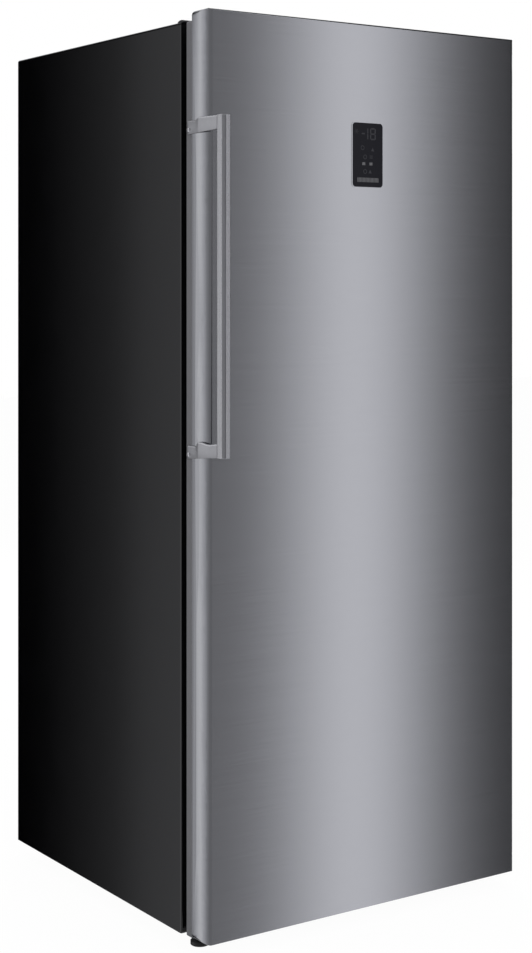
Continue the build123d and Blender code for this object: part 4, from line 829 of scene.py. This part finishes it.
# The door mirrors what stands in front and to the right: grey, with one tall soft strip, darker overhead.
studio_wall(
    "wall_front",
    [
        (-60, 0.31), (-20, 0.30), (25.6, 0.28), (27.5, 0.27), (29.2, 0.54), (30.8, 0.88), (32.5, 1.32),
        (33.6, 1.55), (34.6, 1.44), (36.6, 0.98), (38.4, 0.50), (40, 0.22), (41.6, 0.12), (43, 0.06),
        (45, 0.04), (60, 0.04), (90, 0.5), (130, 0.5), (180, 0.5),
    ],
    dim_from=0.69,
    dim_to=0.76,
    dim=0.25,
)
# The side panel and the door's rounded corner mirror what stands on the left and behind it.
studio_wall(
    "wall_left",
    [
        (-180, 0.5), (-165, 0.0), (-150.2, 0.0), (-149.2, 0.03), (-147.5, 0.085), (-145.6, 0.15),
        (-144.6, 0.33), (-142.9, 0.40), (-139, 0.52), (-135.3, 0.72), (-122.4, 1.17), (-109.7, 0.83),
        (-90, 0.47), (-60, 0.31),
    ],
)


def seen_directly(add, link):
    """A node output that is 1 for camera, glossy and transmission rays, and 0 for the others."""
    path = add("ShaderNodeLightPath")
    seen = path.outputs["Is Camera Ray"]
    for ray in ("Is Glossy Ray", "Is Transmission Ray"):
        either = add("ShaderNodeMath", _operation="MAXIMUM")
        link(seen, either.inputs[0])
        link(path.outputs[ray], either.inputs[1])
        seen = either.outputs[0]
    return seen


# The floor takes soft shadows, but reads as nearly white where it is seen.
FLOOR_REACH = 14
FLOOR_COLOUR = (0.95, 0.95, 0.95, 1)
FLOOR_WHITE = 0.97
corners = [(-1, -1), (1, -1), (1, 1), (-1, 1)]
floor_mesh = bpy.data.meshes.new("floor")
bm = bmesh.new()
bm.faces.new([bm.verts.new((FLOOR_REACH * x, FLOOR_REACH * y, 0)) for x, y in corners])
bm.to_mesh(floor_mesh)
bm.free()
floor = bpy.data.objects.new("floor", floor_mesh)
scene.collection.objects.link(floor)
m, add, link = new_material("floor_pale")
out = add("ShaderNodeOutputMaterial")
base = add("ShaderNodeBsdfDiffuse", Color=FLOOR_COLOUR)
white = add("ShaderNodeEmission", Strength=1.0)
share = add("ShaderNodeMath", _operation="MULTIPLY")
share.inputs[1].default_value = FLOOR_WHITE
link(seen_directly(add, link), share.inputs[0])
mix = add("ShaderNodeMixShader")
link(share.outputs[0], mix.inputs["Fac"])
link(base.outputs[0], mix.inputs[1])
link(white.outputs[0], mix.inputs[2])
link(mix.outputs[0], out.inputs["Surface"])
floor_mesh.materials.append(m)
floor.visible_glossy = False

# The world is white where it is seen, and a softer white as a light.
WORLD_LIGHT = 0.55
world = bpy.data.worlds.new("studio")
scene.world = world
world.use_nodes = True
add, link = tools(world.node_tree)
out = add("ShaderNodeOutputWorld")
soft = add("ShaderNodeBackground", Color=(1, 1, 1, 1), Strength=WORLD_LIGHT)
white = add("ShaderNodeBackground", Color=(1, 1, 1, 1), Strength=1.0)
mix = add("ShaderNodeMixShader")
link(seen_directly(add, link), mix.inputs["Fac"])
link(soft.outputs[0], mix.inputs[1])
link(white.outputs[0], mix.inputs[2])
link(mix.outputs[0], out.inputs["Surface"])


def soft_box(name, place, target, size, power):
    """A rectangular lamp that points at a target and has no reflection."""
    lamp = bpy.data.lights.new(name, "AREA")
    lamp.shape = "RECTANGLE"
    lamp.size, lamp.size_y = size
    lamp.energy = power
    obj = bpy.data.objects.new(name, lamp)
    scene.collection.objects.link(obj)
    obj.location = place
    obj.rotation_euler = (Vector(target) - Vector(place)).to_track_quat("-Z", "Y").to_euler()
    obj.visible_glossy = False


soft_box("key_front", (-1.0, -4.2, 3.2), (0, -0.3, 0.9), size=(2.4, 2.4), power=90)
soft_box("top_soft", (0.2, 0.2, 4.2), (0, 0, 1.0), size=(3.0, 3.0), power=70)
soft_box("rear_fill", (1.4, 3.8, 2.4), (0, 0.3, 0.8), size=(2.2, 2.2), power=60)

CAMERA_AT = (-1.9716, -2.8903, 1.159)
CAMERA_TURN = math.radians(-34.26)
LENS, LENS_SHIFT = 66.84, -0.1988
cam_data = bpy.data.cameras.new("photo_camera")
camera = bpy.data.objects.new("photo_camera", cam_data)
scene.collection.objects.link(camera)
cam_data.lens = LENS
cam_data.shift_y = LENS_SHIFT
camera.location = CAMERA_AT
camera.rotation_euler = (math.radians(90), 0, CAMERA_TURN)
scene.camera = camera

bpy.context.view_layer.update()
